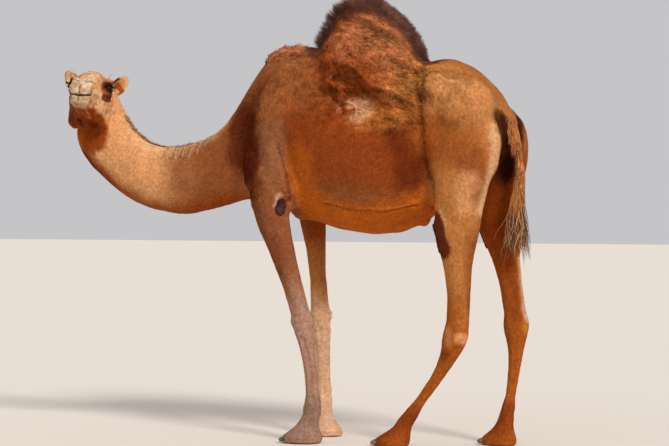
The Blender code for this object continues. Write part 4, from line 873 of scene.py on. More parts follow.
def flesh():
    """All the fleshy nodes as one smooth skin, less the depth of the coat, with fine ears and full lips."""
    bm = bmesh.new()
    for name in FLESH_NODES:
        copy_node(bm, name, MEETING)
    for name in SIDES:
        copy_node(bm, "eye_" + name, MEETING)
        add_ear_root(bm, name)
    base = new_object("skin", bm)
    fuse(base, FIRST_VOXEL)
    relax(base, 90)
    points = points_of(base.data)
    shoulder = ((0.60, 0.17, 1.50), (0.53, 0.18, 1.38), (0.50, 0.19, 1.25))
    hip = ((-0.26, 0.21, 1.50), (-0.36, 0.21, 1.49), (-0.46, 0.19, 1.48), (-0.54, 0.13, 1.48))
    seams = near_both(points, body, shoulder, 0.19, 0.10)
    seams = np.maximum(seams, 0.8 * near_both(points, body, hip, 0.14, 0.05))
    relax(base, 150, seams)
    points, normals = points_of(base.data), normals_of(base.data)
    put_points(base.data, points - normals * (coat_depth(points) + MEETING)[:, None])
    relax(base, 6)
    bm = bmesh.new()
    bm.from_mesh(base.data)
    for side in SIDES.values():
        shell = ear_shell(side)
        bm.from_mesh(shell.data)
        bpy.data.objects.remove(shell)
    bm.to_mesh(base.data)
    bm.free()
    full_lips = bmesh.new()
    full_lips.from_mesh(base.data)
    for place, size in (
        ((0.464, 0.0250, 0.030), (0.038, 0.0275, 0.032)), ((0.464, -0.0250, 0.030), (0.038, 0.0275, 0.032)),
        ((0.452, 0.0, -0.030), (0.044, 0.044, 0.026)),
    ):
        turned = Matrix.Translation(head((place,))[0]) @ HEAD_TURN.to_4x4() @ Matrix.Diagonal((*size, 1.0))
        bmesh.ops.create_icosphere(full_lips, subdivisions=4, radius=1.0, matrix=turned)
    full_lips.to_mesh(base.data)
    full_lips.free()
    fuse(base, SECOND_VOXEL)
    points = points_of(base.data)
    ears = near_both(points, head, ((0.034, 0.092, 0.10), (0.026, 0.150, 0.180)), 0.06, 0.045)
    lips = near(points, head(((0.46, 0, 0.0),)), 0.085, 0.06)
    relax(base, 24, 1.0 - 0.7 * np.clip(ears + lips, 0, 1))
    return base


class Strokes(list):
    """Grooves and ridges for one part of the object, whose places are body places or head places."""

    def __init__(self, place):
        super().__init__()
        self.place = place

    def one(self, places, reach, depth, *shading_mark):
        self.append((self.place(places), reach, depth, *shading_mark))

    def pair(self, places, reach, depth, *shading_mark):
        """A line of the left side, and the same on the right."""
        for line in both(places):
            self.one(line, reach, depth, *shading_mark)


def trunk_strokes():
    """Grooves and ridges of the trunk and the neck."""
    carve = Strokes(body)
    # The fold before the thigh, and the folds behind the shoulder and over the elbow, with painted shade in
    # them.
    carve.pair(((-0.20, 0.21, 1.64), (-0.215, 0.235, 1.54), (-0.232, 0.235, 1.40), (-0.245, 0.205, 1.22),
                (-0.24, 0.15, 1.09)), 0.020, 0.010, "crease", 0.016)
    carve.pair(((0.505, 0.185, 1.42), (0.478, 0.195, 1.345), (0.462, 0.20, 1.30), (0.440, 0.19, 1.226)),
               0.014, 0.005, "dusk", 0.006)
    carve.pair(((0.450, 0.195, 1.26), (0.438, 0.195, 1.20), (0.438, 0.19, 1.14)), 0.022, 0.010, "dusk", 0.013)
    carve.pair(((0.49, 0.19, 1.24), (0.455, 0.195, 1.17)), 0.03, -0.006)
    # The vein along the belly: a ridge with a painted highlight along it, and painted shade in the groove
    # below it.
    vein = [(0.27, 0.195, 1.14)]
    for step in range(9):
        x = 0.236 - step * 0.054
        y = 0.213 - 6.0 * max(0.0, 0.03 - x) ** 2 * 0.20 + 0.004
        vein.append((x, y, 1.112 + 0.006 * math.sin(step * 2.1) + 0.5 * (x - 0.02) ** 2))
    carve.pair(vein, 0.0085, -0.0040, "vein", 0.0040)
    carve.pair([(x, y - 0.004, z - 0.011) for x, y, z in vein], 0.009, 0.0025, "crease", 0.009)
    # Groove down the thigh, the muscle ahead of it, and the groove down to the hock.
    carve.pair(((-0.475, 0.215, 1.35), (-0.458, 0.22, 1.22), (-0.445, 0.216, 1.13), (-0.43, 0.20, 1.02)),
               0.034, 0.008)
    carve.pair(((-0.45, 0.225, 1.36), (-0.415, 0.225, 1.22), (-0.40, 0.22, 1.08)), 0.040, -0.006)
    carve.pair(((-0.40, 0.17, 0.94), (-0.405, 0.16, 0.80), (-0.415, 0.15, 0.66)), 0.022, 0.005)
    # The deep gap between buttock and tail, with painted shadow in it.
    carve.pair(((-0.565, 0.095, 1.545), (-0.585, 0.092, 1.48), (-0.592, 0.070, 1.42), (-0.585, 0.045, 1.36)),
               0.030, 0.024, "dusk", 0.030)
    # The dip along the croup, and the point of the hip.
    carve.pair(((-0.30, 0.16, 1.75), (-0.42, 0.15, 1.71), (-0.52, 0.10, 1.63)), 0.030, 0.005)
    carve.pair(((-0.28, 0.19, 1.66), (-0.30, 0.20, 1.60)), 0.05, -0.008)
    # Shoulder blade, the groove before it, and the groove down to the elbow.
    carve.pair(((0.50, 0.13, 1.78), (0.56, 0.16, 1.60), (0.62, 0.17, 1.42)), 0.035, -0.006)
    carve.pair(((0.665, 0.11, 1.64), (0.71, 0.115, 1.48), (0.70, 0.14, 1.34), (0.67, 0.16, 1.22)), 0.030,
               0.003)
    carve.pair(((0.575, 0.19, 1.36), (0.545, 0.195, 1.22), (0.52, 0.20, 1.12)), 0.020, 0.005)
    # Wrinkles across the bend of the neck, under the nape, with painted shade in their grooves and painted
    # highlights on their ridges.
    wrinkles = 27
    for step in range(wrinkles):
        x = 0.93 + step * 0.00935 + 0.0012 * math.sin(step * 2.3)
        top = np.interp(x, [place[0] for place in NAPE[::-1]], [place[2] for place in NAPE[::-1]])
        lean = 0.004 * math.sin(step * 1.7)
        length = 0.75 + 0.35 * math.sin(step * 1.1) ** 2
        strength = 0.35 + 0.65 * math.sin(math.pi * (step + 1) / (wrinkles + 1))
        deep, shading_mark = (0.0050, "crease") if step % 2 else (-0.0030, "pale")
        fold = [(x, 0.012, top), (x + lean, 0.045, top - 0.012),
                (x + 1.5 * lean, 0.066, top - 0.040 * length),
                (x + 2 * lean, 0.078, top - 0.070 * length)]
        carve.pair(fold, 0.0062, deep * strength, shading_mark, 0.0048)
    # The bump behind the navel.
    carve.one(((-0.175, 0.0, 1.020), (-0.190, 0.0, 1.015)), 0.035, -0.020)
    return carve


def leg_strokes():
    """Grooves and ridges of the legs and feet."""
    carve = Strokes(body)
    for limb, size, rise in ((FORELEG, 1.0, 0.0), (HINDLEG, 0.88, 0.008)):
        for name, side in SIDES.items():
            line = np.array(limb[name])
            # Groove between bone and sinew down the cannon, on its inner and outer side.
            rear = np.array((-0.012, 0.0, rise))
            for out in (1.0, -1.0):
                aside = np.array((0.0, out * 0.032, 0.0))
                groove = line[3:6] + rear + aside + ((0.0, 0, -0.06), (0, 0, 0), (0, 0, 0.03))
                carve.one(groove, 0.014, 0.0045)
            # The cleft between the two toes, and the edge of the sole pad.
            foot = line[-1] * (1, 1, 0)
            turn = side * math.radians(7)
            ahead = np.array((math.cos(turn), math.sin(turn), 0.0))
            cleft = [foot + ahead * 0.108 * size + (0, 0, 0.005), foot + ahead * 0.100 * size + (0, 0, 0.035),
                     foot + ahead * 0.070 * size + (0, 0, 0.058)]
            carve.one(cleft, 0.014, 0.010)
            ring = []
            for angle in np.linspace(0, 2 * math.pi, 25) + turn:
                ring.append(foot + (math.cos(angle) * 0.103 * size, math.sin(angle) * 0.081 * size, 0.019))
            carve.one(ring, 0.0065, 0.0032)
    # Hollows before each heel cord, on its outer and its inner side.
    carve.one(((-0.392, 0.165, 0.60), (-0.388, 0.165, 0.70)), 0.022, 0.008)
    carve.one(((-0.392, 0.095, 0.60), (-0.388, 0.095, 0.70)), 0.022, 0.008)
    carve.one(((-0.585, -0.085, 0.66), (-0.572, -0.09, 0.76)), 0.022, 0.008)
    carve.one(((-0.585, -0.155, 0.66), (-0.572, -0.16, 0.76)), 0.022, 0.008)
    for name, side in SIDES.items():
        knee, shank, pastern = (np.array(FORELEG[name][index]) for index in (3, 4, 5))
        above = np.array(FORELEG[name][2])
        # Kneecap, the knob behind it, the bones' ends above and below, and the dips between them.
        carve.one((knee + (0.046, side * 0.008, 0.012),), 0.040, -0.007)
        carve.one((knee + (-0.048, side * 0.010, 0.018), knee + (-0.050, side * 0.008, 0.0)), 0.024, -0.009)
        carve.one((knee + (0.010, side * 0.046, 0.055),), 0.026, -0.004)
        carve.one((knee + (0.004, side * 0.046, -0.050),), 0.026, -0.004)
        carve.one((knee + (0.030, side * 0.044, 0.002), knee + (-0.030, side * 0.046, 0.012)), 0.018, 0.0030)
        carve.one((knee + (0.040, side * 0.030, -0.042), knee + (0.010, side * 0.046, -0.030)), 0.012, 0.003)
        # The grooves up the forearm, one behind and one before its big muscle.
        carve.one((knee + (-0.030, side * 0.034, 0.060),
                   above * 0.55 + knee * 0.45 + (-0.028, side * 0.040, 0.0),
                   above + (-0.034, side * 0.040, 0.02)), 0.022, 0.0045)
        carve.one((knee + (0.028, side * 0.030, 0.075), above * 0.6 + knee * 0.4 + (0.030, side * 0.040, 0.0),
                   above + (0.034, side * 0.048, 0.0)), 0.020, 0.0045)
        # Cannon bone and the sinews behind it, fetlock, and the folds over the foot.
        carve.one((knee + (-0.014, side * 0.036, -0.075), shank + (-0.010, side * 0.034, 0.0),
                   pastern + (-0.008, side * 0.036, 0.05)), 0.020, 0.0045)
        carve.one((knee + (-0.036, side * 0.014, -0.060), shank + (-0.033, side * 0.014, 0.0),
                   pastern + (-0.030, side * 0.014, 0.05)), 0.014, -0.005)
        carve.one((pastern + (-0.012, side * 0.036, 0.015),), 0.030, -0.006)
        carve.one((pastern + (0.030, side * 0.020, 0.0),), 0.030, -0.004)
        carve.one((pastern + (-0.034, side * 0.022, -0.020), pastern + (-0.002, side * 0.044, -0.034),
                   pastern + (0.040, side * 0.028, -0.030)), 0.018, 0.0040)
    for name, side in SIDES.items():
        # The hock's outer knob, the grooves down the cannon, the fetlock, and the folds over the foot.
        hock, shank, pastern = (np.array(HINDLEG[name][index]) for index in (3, 4, 5))
        carve.one((hock + (0.020, side * 0.042, 0.01),), 0.030, -0.005)
        carve.one((hock + (0.0, side * 0.040, -0.06), shank + (-0.008, side * 0.036, 0.0),
                   pastern + (-0.010, side * 0.036, 0.05)), 0.020, 0.0045)
        carve.one((hock * 0.8 + shank * 0.2 + (0.034, side * 0.020, 0.0),
                   shank + (0.030, side * 0.016, 0.02)), 0.016, 0.004)
        carve.one((pastern + (-0.010, side * 0.036, 0.015),), 0.028, -0.006)
        carve.one((pastern + (-0.034, side * 0.022, -0.020), pastern + (-0.002, side * 0.042, -0.034),
                   pastern + (0.040, side * 0.028, -0.030)), 0.018, 0.0040)
    return carve


def head_strokes():
    """Grooves and ridges of the head."""
    carve = Strokes(head)
    mouth = ((0.386, 0.056, 0.024), (0.405, 0.056, 0.018), (0.43, 0.053, 0.010), (0.465, 0.043, 0.003),
             (0.490, 0.026, -0.002), (0.500, 0.0, -0.003))
    # The mouth's long line, painted dark as painted shade, its middle, and the folds at its corners.
    carve.pair(mouth, 0.0080, 0.0090, "soot", 0.0062)
    carve.one(((0.500, -0.012, -0.003), (0.500, 0.012, -0.003)), 0.010, 0.006, "soot", 0.0080)
    carve.pair(((0.380, 0.058, 0.030), (0.368, 0.060, 0.036)), 0.008, 0.003)
    carve.pair(((0.376, 0.060, 0.016), (0.362, 0.062, 0.012)), 0.008, 0.003)
    # Cleft of the upper lip, and the notch below the lower one, both with painted shade in them.
    carve.one(((0.478, 0, 0.060), (0.494, 0, 0.048), (0.502, 0, 0.030), (0.502, 0, 0.004)), 0.0085, 0.0085,
              "dusk", 0.0042)
    carve.one(((0.497, 0, -0.016), (0.492, 0, -0.030)), 0.010, 0.004, "dusk", 0.007)
    # Slit nostrils, painted dark inside as painted shade, with their rims, and the fold above them.
    slit = ((0.424, 0.048, 0.069), (0.436, 0.038, 0.0715), (0.441, 0.024, 0.0735), (0.441, 0.016, 0.0745))
    carve.pair(((0.416, 0.044, 0.078), (0.424, 0.034, 0.083), (0.427, 0.022, 0.085)), 0.024, -0.011)
    carve.pair(((0.395, 0.036, 0.086), (0.395, 0.020, 0.090)), 0.030, -0.004)
    carve.pair(slit, 0.0075, 0.0110, "soot", 0.0072)
    carve.one(((0.44, 0, 0.083), (0.41, 0, 0.092), (0.38, 0, 0.098)), 0.012, 0.006)
    # The lower jaw's line with its grooves, the chin's middle, the cheek, and the hollows under the jaw; one
    # groove has painted shade and one hollow a painted shadow.
    carve.pair(((0.400, 0.045, -0.045), (0.320, 0.055, -0.062), (0.25, 0.066, -0.082)), 0.014, -0.0035)
    carve.pair(((0.413, 0.029, -0.047), (0.360, 0.027, -0.056), (0.307, 0.027, -0.065),
                (0.254, 0.033, -0.082)), 0.011, -0.0055)
    carve.pair(((0.405, 0.038, -0.050), (0.350, 0.038, -0.060), (0.27, 0.046, -0.080)), 0.011, 0.0055,
               "crease", 0.008)
    carve.one(((0.44, 0, -0.055), (0.36, 0, -0.074), (0.27, 0, -0.098)), 0.016, 0.006)
    carve.pair(((0.345, 0.062, 0.020), (0.30, 0.070, 0.010), (0.26, 0.078, -0.008)), 0.022, 0.004)
    carve.pair(((0.300, 0.066, -0.030), (0.25, 0.070, -0.050), (0.20, 0.078, -0.072)), 0.024, -0.005)
    carve.pair(((0.165, 0.096, -0.085), (0.13, 0.094, -0.098)), 0.020, -0.005)
    carve.pair(((0.190, 0.052, -0.104), (0.15, 0.050, -0.120)), 0.022, 0.005)
    carve.pair(((0.222, 0.018, -0.101), (0.200, 0.016, -0.108)), 0.013, -0.005)
    carve.pair(((0.115, 0.10, -0.06), (0.090, 0.095, -0.03)), 0.018, 0.006)
    carve.one(((0.222, -0.030, -0.096), (0.190, -0.034, -0.102)), 0.017, 0.013, "soot", 0.0140)
    # Brow ridge, the hollow behind it, the bag and the crease below the eye, and the fold over it, with
    # painted shade in that fold.
    carve.pair(((0.232, 0.080, 0.112), (0.205, 0.088, 0.120), (0.172, 0.090, 0.112)), 0.018, -0.007)
    carve.pair(((0.150, 0.085, 0.120), (0.130, 0.086, 0.112)), 0.022, 0.007)
    carve.pair(((0.236, 0.094, 0.050), (0.205, 0.105, 0.046), (0.172, 0.105, 0.052)), 0.010, -0.0035)
    carve.pair(((0.245, 0.088, 0.034), (0.205, 0.100, 0.030), (0.168, 0.103, 0.038)), 0.009, 0.0035)
    carve.pair(((0.240, 0.080, 0.094), (0.218, 0.094, 0.104), (0.190, 0.098, 0.106), (0.168, 0.098, 0.096)),
               0.006, 0.003, "dusk", 0.005)
    # Ridge of the nose and the line from eye to nostril.
    carve.pair(((0.42, 0.030, 0.080), (0.34, 0.038, 0.096), (0.27, 0.050, 0.112)), 0.016, -0.003)
    carve.pair(((0.41, 0.050, 0.045), (0.34, 0.060, 0.055), (0.27, 0.072, 0.065)), 0.018, 0.003)
    # The hollow inside the ear's root, with painted shade in it.
    carve.pair(((0.056, 0.102, 0.100), (0.054, 0.112, 0.118)), 0.012, 0.004, "dusk", 0.011)
    return carve


def open_eyes(skin):
    """Sinks the skin behind each eyeball within an almond, and gives the almond thick lids."""
    points = points_of(skin.data)
    for side in SIDES.values():
        centre = head(EYE * (1, side, 1))[0]
        gaze, fore, up = eye_axes(side)
        close = np.flatnonzero(np.linalg.norm(points - centre, axis=1) < 0.045)
        rel = points[close] - centre
        out, along, height = rel @ gaze, rel @ fore, rel @ up
        share = almond(along, height)
        facing = out > 0.0
        # Inside the almond the skin lies behind the ball, at its rim it stands over it as a lid.
        radius = np.linalg.norm(rel, axis=1)
        lid = EYE_RADIUS + 0.0026
        inside = ease((1.06 - share) / 0.16)
        rim = ease((1.75 - share) / 0.55) * (1 - inside)
        target = radius * (1 - inside) + (EYE_RADIUS - 0.008) * inside
        target = target * (1 - rim) + np.maximum(lid, np.minimum(target, lid + 0.003)) * rim
        scale = np.where(facing, target / np.maximum(radius, 1e-9), 1.0)
        points[close] = centre + rel * scale[:, None]
    put_points(skin.data, points)


def eye_axes(side):
    """Which way an eye looks, and the forward and upward ways across its opening."""
    gaze = HEAD_ROT @ unit(np.array([(0.38, side * 0.92, 0.06)]))[0]
    fore = HEAD_ROT @ np.array((1.0, 0.0, -0.10))
    fore = fore - gaze * (fore @ gaze)
    fore /= np.linalg.norm(fore)
    up = np.cross(gaze, fore) * -side
    return gaze, fore, up if up @ (HEAD_ROT @ np.array((0, 0, 1.0))) > 0 else -up


def almond(along, height):
    """Nought at the middle of the eye's opening, one at its rim."""
    length, over, under = EYE_OPENING
    return np.sqrt((along / length) ** 2 + (height / np.where(height > 0, over, under)) ** 2)


def wool_relief(skin):
    """Matted ropes on the hump's sides, lumps on the withers, and the soft unevenness of a live hide."""
    points, normals = points_of(skin.data), normals_of(skin.data)
    share = wool_share(points) * (1 - crest_share(points))
    ridge, fine = ropes(points)
    lift = share * (0.0115 * ridge + 0.0035 * fine)
    lift += 0.0012 * grain(points, 0.06, 61) * ease((points[:, 2] - 0.6) / 0.4)
    put_points(skin.data, points + normals * lift[:, None])


def mark_plain(obj, points, carved_shading, levels=16):
    """Marks how plain the skin is at each point, so that the head, the folds and the wool keep more faces."""
    share = near(points, head(((0.06, 0, 0.03), (0.48, 0, 0.0))), 0.20, 0.15) + 0.5 * wool_share(points)
    share += 0.55 * near(points, body(NECK_FOLDS), 0.12, 0.095)
    for limb in (*FORELEG.values(), *HINDLEG.values()):
        share += 0.35 * near(points, body(limb[3:]), 0.12, 0.09)
    for marked in carved_shading.values():
        share = np.maximum(share, 0.55 * (marked > 0.03))
    stifle = ((-0.29, 0.19, 1.05), (-0.32, 0.19, 0.92))
    share = np.maximum(share, 0.4 * near_both(points, body, stifle, 0.12, 0.08))
    # From 0.88 where the skin is plainest to 0.26 where it is finest.
    plain = np.round((0.88 - 0.62 * np.clip(share, 0, 1)) * levels)
    group = obj.vertex_groups.new(name="plain")
    for level in range(levels + 1):
        chosen = np.flatnonzero(plain == level)
        if len(chosen):
            group.add(chosen.tolist(), level / levels, "REPLACE")


# Eyes, lips and the neck's folds get finer faces, then all is carved, and the plain parts are thinned.
skin = flesh()
eyes = [head(EYE * (1, side, 1))[0] for side in SIDES.values()]
finer(skin, eyes, 0.040)
finer(skin, head(LIP_PLACES), 0.045)
finer(skin, eyes, 0.030)
for _ in range(2):
    finer(skin, body(NECK_FOLDS), 0.088)
carved_shading = press(skin, trunk_strokes() + leg_strokes())
for tint, share in press(skin, head_strokes()).items():
    carved_shading[tint] = np.maximum(carved_shading.get(tint, 0.0), share)
wool_relief(skin)
relax(skin, 1)
open_eyes(skin)
carved = points_of(skin.data)
mark_plain(skin, carved, carved_shading)
skin.data.calc_loop_triangles()
kept_share = min(1.0, SKIN_TRIANGLES / len(skin.data.loop_triangles))
modify(skin, "DECIMATE", ratio=kept_share, use_collapse_triangulate=True, vertex_group="plain",
       vertex_group_factor=1.0)

# Skin points that the carved features' painted shade and highlights reach, found again on the thinned skin.
SHADING_POINTS = np.flatnonzero(sum(share > 0.001 for share in carved_shading.values()))
SHADING_TREE = tree_of(carved[SHADING_POINTS])


def add_carved_shading(points, colours):
    """Adds the painted shade and highlights of the carved features to colours of points on the skin."""
    for tint, share in carved_shading.items():
        there = np.flatnonzero(share > 0.02)
        low, high = carved[there].min(axis=0) - 0.01, carved[there].max(axis=0) + 0.01
        inside = np.flatnonzero(((points > low) & (points < high)).all(axis=1))
        for index in inside:
            _, found, gap = SHADING_TREE.find(points[index])
            if gap < 0.006:
                shading_mark, strength = CARVED_SHADING[tint]
                colours[index] += (shading_mark - colours[index]) * share[SHADING_POINTS[found]] * strength
    return colours


def unwrap(obj):
    """An unwrap of the skin's own shape, which the coat's patches share."""
    for other in bpy.context.view_layer.objects:
        other.select_set(False)
    bpy.context.view_layer.objects.active = obj
    obj.select_set(True)
    obj.data.uv_layers.new(name="OFBake")
    bpy.ops.object.mode_set(mode="EDIT")
    bpy.ops.mesh.select_all(action="SELECT")
    bpy.ops.uv.smart_project(angle_limit=math.radians(66), island_margin=0.002)
    bpy.ops.object.mode_set(mode="OBJECT")


unwrap(skin)
skin_points = points_of(skin.data)
skin_colours = add_carved_shading(skin_points, coat_colours(skin_points, normals_of(skin.data)))
# The skin is painted a little darker than the coat, as painted shade between the tufts.
paint(skin.data, skin_colours * 0.97)
# Skin and short coat have one grain, and hardly shine.
COAT_GRAIN = {"fine": 330.0, "coarse": 78.0, "specular": 0.05}
skin_material = hide_material("skin_coat", **COAT_GRAIN, depth=0.46)
finish_piece(skin, skin_material, FLESH_NODES + ["ear_left", "ear_right"])


# ---------------------------------------------------------------------- tufts
class Ground:
    """The skin's triangles, for choosing where tufts grow."""

    def __init__(self, mesh):
        mesh.calc_loop_triangles()
        count = len(mesh.loop_triangles)
        corners, loops = np.empty(count * 3, np.int32), np.empty(count * 3, np.int32)
        mesh.loop_triangles.foreach_get("vertices", corners)
        mesh.loop_triangles.foreach_get("loops", loops)
        self.corners = corners.reshape(-1, 3)
        self.points, self.normals = points_of(mesh), normals_of(mesh)
        flat = np.empty(len(mesh.loops) * 2, np.float32)
        mesh.uv_layers["OFBake"].uv.foreach_get("vector", flat)
        self.uv = flat.reshape(-1, 2)[loops.reshape(-1, 3)]
        a, b, c = (self.points[self.corners[:, k]] for k in range(3))
        self.area = np.linalg.norm(np.cross(b - a, c - a), axis=1) / 2
        self.centre = (a + b + c) / 3

    def scatter(self, share, spacing):
        """Roots about that far apart where the share is one, and fewer where it is less."""
        weight = self.area * share
        count = int(weight.sum() / spacing**2)
        chosen = rng.choice(len(weight), count, p=weight / weight.sum())
        a, b = rng.random(count), rng.random(count)
        over = a + b > 1.0
        a[over], b[over] = 1.0 - a[over], 1.0 - b[over]
        parts = np.stack([1.0 - a - b, a, b], axis=1)[:, :, None]
        places = (self.points[self.corners[chosen]] * parts).sum(axis=1)
        normals = unit((self.normals[self.corners[chosen]] * parts).sum(axis=1))
        patch = (self.uv[chosen] * parts).sum(axis=1)
        return places, normals, patch


ground = Ground(skin.data)

# How wide a tuft still is at its tip, as a share of its width.
TUFT_TIP = 0.15


def grow(name, roots, length, width, rise, material, slot, colours=None, rings=3, curl=0.0, droop=0.5,
         way=None, flat=0.45, nodes=(), wave=0.0, swirl=0.35, uneven=0.16, root_tone=0.80, soft=0.6):
    """A piece of solid tufts, one at each root. A tuft leaves the skin at the rise, its sine, and droops back
    to its lie. The wave bends it from side to side, and the curl turns its tip over. Uneven is how much the
    tufts differ in tone, and soft is how far they take their shading from the hide under them."""
    places, normals, patch = roots
    count = len(places)
    way = lie(places, normals, swirl) if way is None else unit(way)
    across = unit(np.cross(normals, way))
    length = np.broadcast_to(length, count) * rng.uniform(0.75, 1.25, count)
    width = np.broadcast_to(width, count) * rng.uniform(0.8, 1.2, count)
    rise = np.clip(np.broadcast_to(rise, count) * rng.uniform(0.6, 1.4, count), 0.02, 0.98)
    phase, swing = rng.uniform(0, 2 * math.pi, count), rng.normal(0, 1, count)
    tone = 1.0 + uneven * rng.normal(0, 1, count)
    base = coat_colours(places, normals) if colours is None else colours(places)
    steps = np.linspace(0.0, 1.0, rings + 1)
    lean = np.cross(across, way)
    lean = np.where((lean * normals).sum(axis=1, keepdims=True) < 0, -lean, lean)
    points, shades, facing = [], [], []
    for step in steps:
        lift = rise * (step - droop * step**2)
        ahead = np.sqrt(1 - rise**2) * step + rise * droop * 0.5 * step**2 - curl * 0.5 * step**3
        lift = lift + curl * 0.35 * np.sin(step * 2.4)
        aside = 0.10 * swing * step**2 + wave * np.sin(phase + step * 7.0) * step
        centre = places - normals * 0.0003 * (1 - step) + length[:, None] * (
            way * ahead[:, None] + normals * lift[:, None] + across * aside[:, None])
        # Each tuft is painted darker at its root and a little lighter at its tip, as painted shade and light.
        shade = np.clip(base * (tone * (root_tone + (1.06 - root_tone) * step))[:, None], 0.002, 0.95)
        if step < 1.0:
            half = width * (0.85 + 0.5 * step - (1.35 - TUFT_TIP) * step**2) / 2
            for turn in range(3):
                angle = math.pi / 2 + turn * 2 * math.pi / 3
                offset = across * (math.cos(angle) * half)[:, None]
                offset = offset + lean * (math.sin(angle) * half * flat)[:, None]
                points.append(centre + offset)
                shades.append(shade)
                facing.append(unit(offset) * (1 - soft) + normals * soft)
        else:
            points.append(centre)
            shades.append(shade)
            facing.append(way * (1 - soft) + normals * soft)
    columns = len(points)
    verts = np.stack(points, axis=1).reshape(-1, 3)
    tints = np.stack(shades, axis=1).reshape(-1, 3)
    faces = [(2, 1, 0)]
    for ring in range(rings - 1):
        for turn in range(3):
            a, b = ring * 3 + turn, ring * 3 + (turn + 1) % 3
            faces += [(a, b, b + 3), (a, b + 3, a + 3)]
    last = (rings - 1) * 3
    faces += [(last + turn, last + (turn + 1) % 3, columns - 1) for turn in range(3)]
    faces = np.array(faces)
    indices = (faces[None] + (np.arange(count) * columns)[:, None, None]).reshape(-1, 3)
    mesh = bpy.data.meshes.new(name)
    mesh.vertices.add(len(verts))
    mesh.vertices.foreach_set("co", verts.astype(np.float32).ravel())
    mesh.loops.add(indices.size)
    mesh.loops.foreach_set("vertex_index", indices.astype(np.int32).ravel())
    mesh.polygons.add(len(indices))
    mesh.polygons.foreach_set("loop_start", np.arange(0, indices.size, 3, dtype=np.int32))
    mesh.update(calc_edges=True)
    mesh.validate()
    # Each tuft's patch: up along the tuft, across round it.
    rows = np.repeat(np.arange(rings + 1) / rings, 3)[:columns]
    turns = np.array(([0.0, 0.5, 1.0] * (rings + 1))[:columns])
    local = np.stack([turns - 0.5, rows - 0.5], axis=1) * 0.003
    uv = (patch[:, None, None, :] + local[faces][None]).reshape(-1, 2)
    mesh.uv_layers.new(name="OFBake").uv.foreach_set("vector", uv.astype(np.float32).ravel())
    paint(mesh, tints)
    made = new_object(name, mesh)
    finish_piece(made, material, nodes)
    turned = unit(np.stack(facing, axis=1).reshape(-1, 3)).astype(np.float32)
    mesh.attributes.new("custom_normal", "FLOAT_VECTOR", "POINT").data.foreach_set("vector", turned.ravel())
    return made


coat_material = hide_material("coat_hair", **COAT_GRAIN, depth=0.44, bump=0.0, rough=0.78)


def zone(points, name):
    """Which points are in one of the coat's zones."""
    local = points - BODY
    headward = near(points, head(((0.0, 0, 0.02), (0.48, 0, 0.0))), 0.24, 0.22) > 0
    x, y, z = local.T
    leg = z < 0.98
    neck = (x > 0.76) & ~headward
    return {
        "head": headward,
        "neck": neck,
        "forelegs": leg & (x > 0.17) & ~headward & ~neck,
        "hindlegs": leg & (x <= 0.17),
        "left": ~headward & ~neck & ~leg & (y >= 0),
        "right": ~headward & ~neck & ~leg & (y < 0),
    }[name]


# No hair grows on the lips' edges, the nostrils, the eyes and the soles, which end this far above the floor.
SOLE_EDGE = 0.018
bare = np.zeros(len(ground.centre))
lips = ((0.386, 0.056, 0.024), (0.43, 0.053, 0.010), (0.49, 0.026, -0.002), (0.500, 0.0, -0.003))
nostrils = ((0.430, 0.047, 0.068), (0.447, 0.031, 0.076), (0.454, 0.021, 0.073))
for line in (lips, nostrils):
    bare = np.maximum(bare, near_both(ground.centre, head, line, 0.012, 0.008))
for place in eyes:
    bare = np.maximum(bare, np.linalg.norm(ground.centre - place, axis=1) < 0.029)
sole = ground.centre[:, 2] < SOLE_EDGE
crest_here = near(ground.centre, body(CREST), 0.105, 0.085)
open_ground = (1.0 - bare) * ~sole
# The short coat's pieces: the zone, its front or rear half, and how far apart, long and thick the tufts are.
SHORT_COAT = (
    ("neck", None, 0.0080, 0.0170, 0.0030),
    ("left", 1, 0.0086, 0.0180, 0.0032),
    ("left", -1, 0.0086, 0.0180, 0.0032),
    ("right", 1, 0.0086, 0.0180, 0.0032),
    ("right", -1, 0.0086, 0.0180, 0.0032),
    ("forelegs", None, 0.0078, 0.0130, 0.0026),
    ("hindlegs", None, 0.0078, 0.0130, 0.0026),
    ("head", None, 0.0052, 0.0070, 0.0012),
)
for name, half, spacing, size, thick in SHORT_COAT:
    share = zone(ground.centre, name) * open_ground * (1 - 0.9 * crest_here)
    if half:
        share = share * ((ground.centre[:, 0] - BODY[0] - 0.10) * half > 0)
        name += "_fore" if half > 0 else "_rear"
    roots = ground.scatter(share, spacing)
    woolly = wool_share(roots[0])
    grow("coat_" + name, roots, size * (1.0 + 0.40 * woolly), thick * (1 + 0.2 * woolly),
         0.055 + 0.20 * woolly, coat_material, "coat_sand", rings=2, uneven=0.11, root_tone=0.97,
         droop=0.75, soft=0.85)

hair_material = hide_material(
    "crest_hair", fine=900.0, coarse=120.0, depth=0.12, bump=0.0, rough=0.62, specular=0.3)


def crest_colours(points):
    """The crest's brown, with greyer and blacker strands."""
    colour = np.tile(CREST_BROWN, (len(points), 1))
    colour = mix(colour, srgb(128, 84, 62), 0.55 * ease(grain(points, 0.03, 71) + 0.4))
    return mix(colour, SOOT, 0.5 * ease(grain(points, 0.018, 73)))


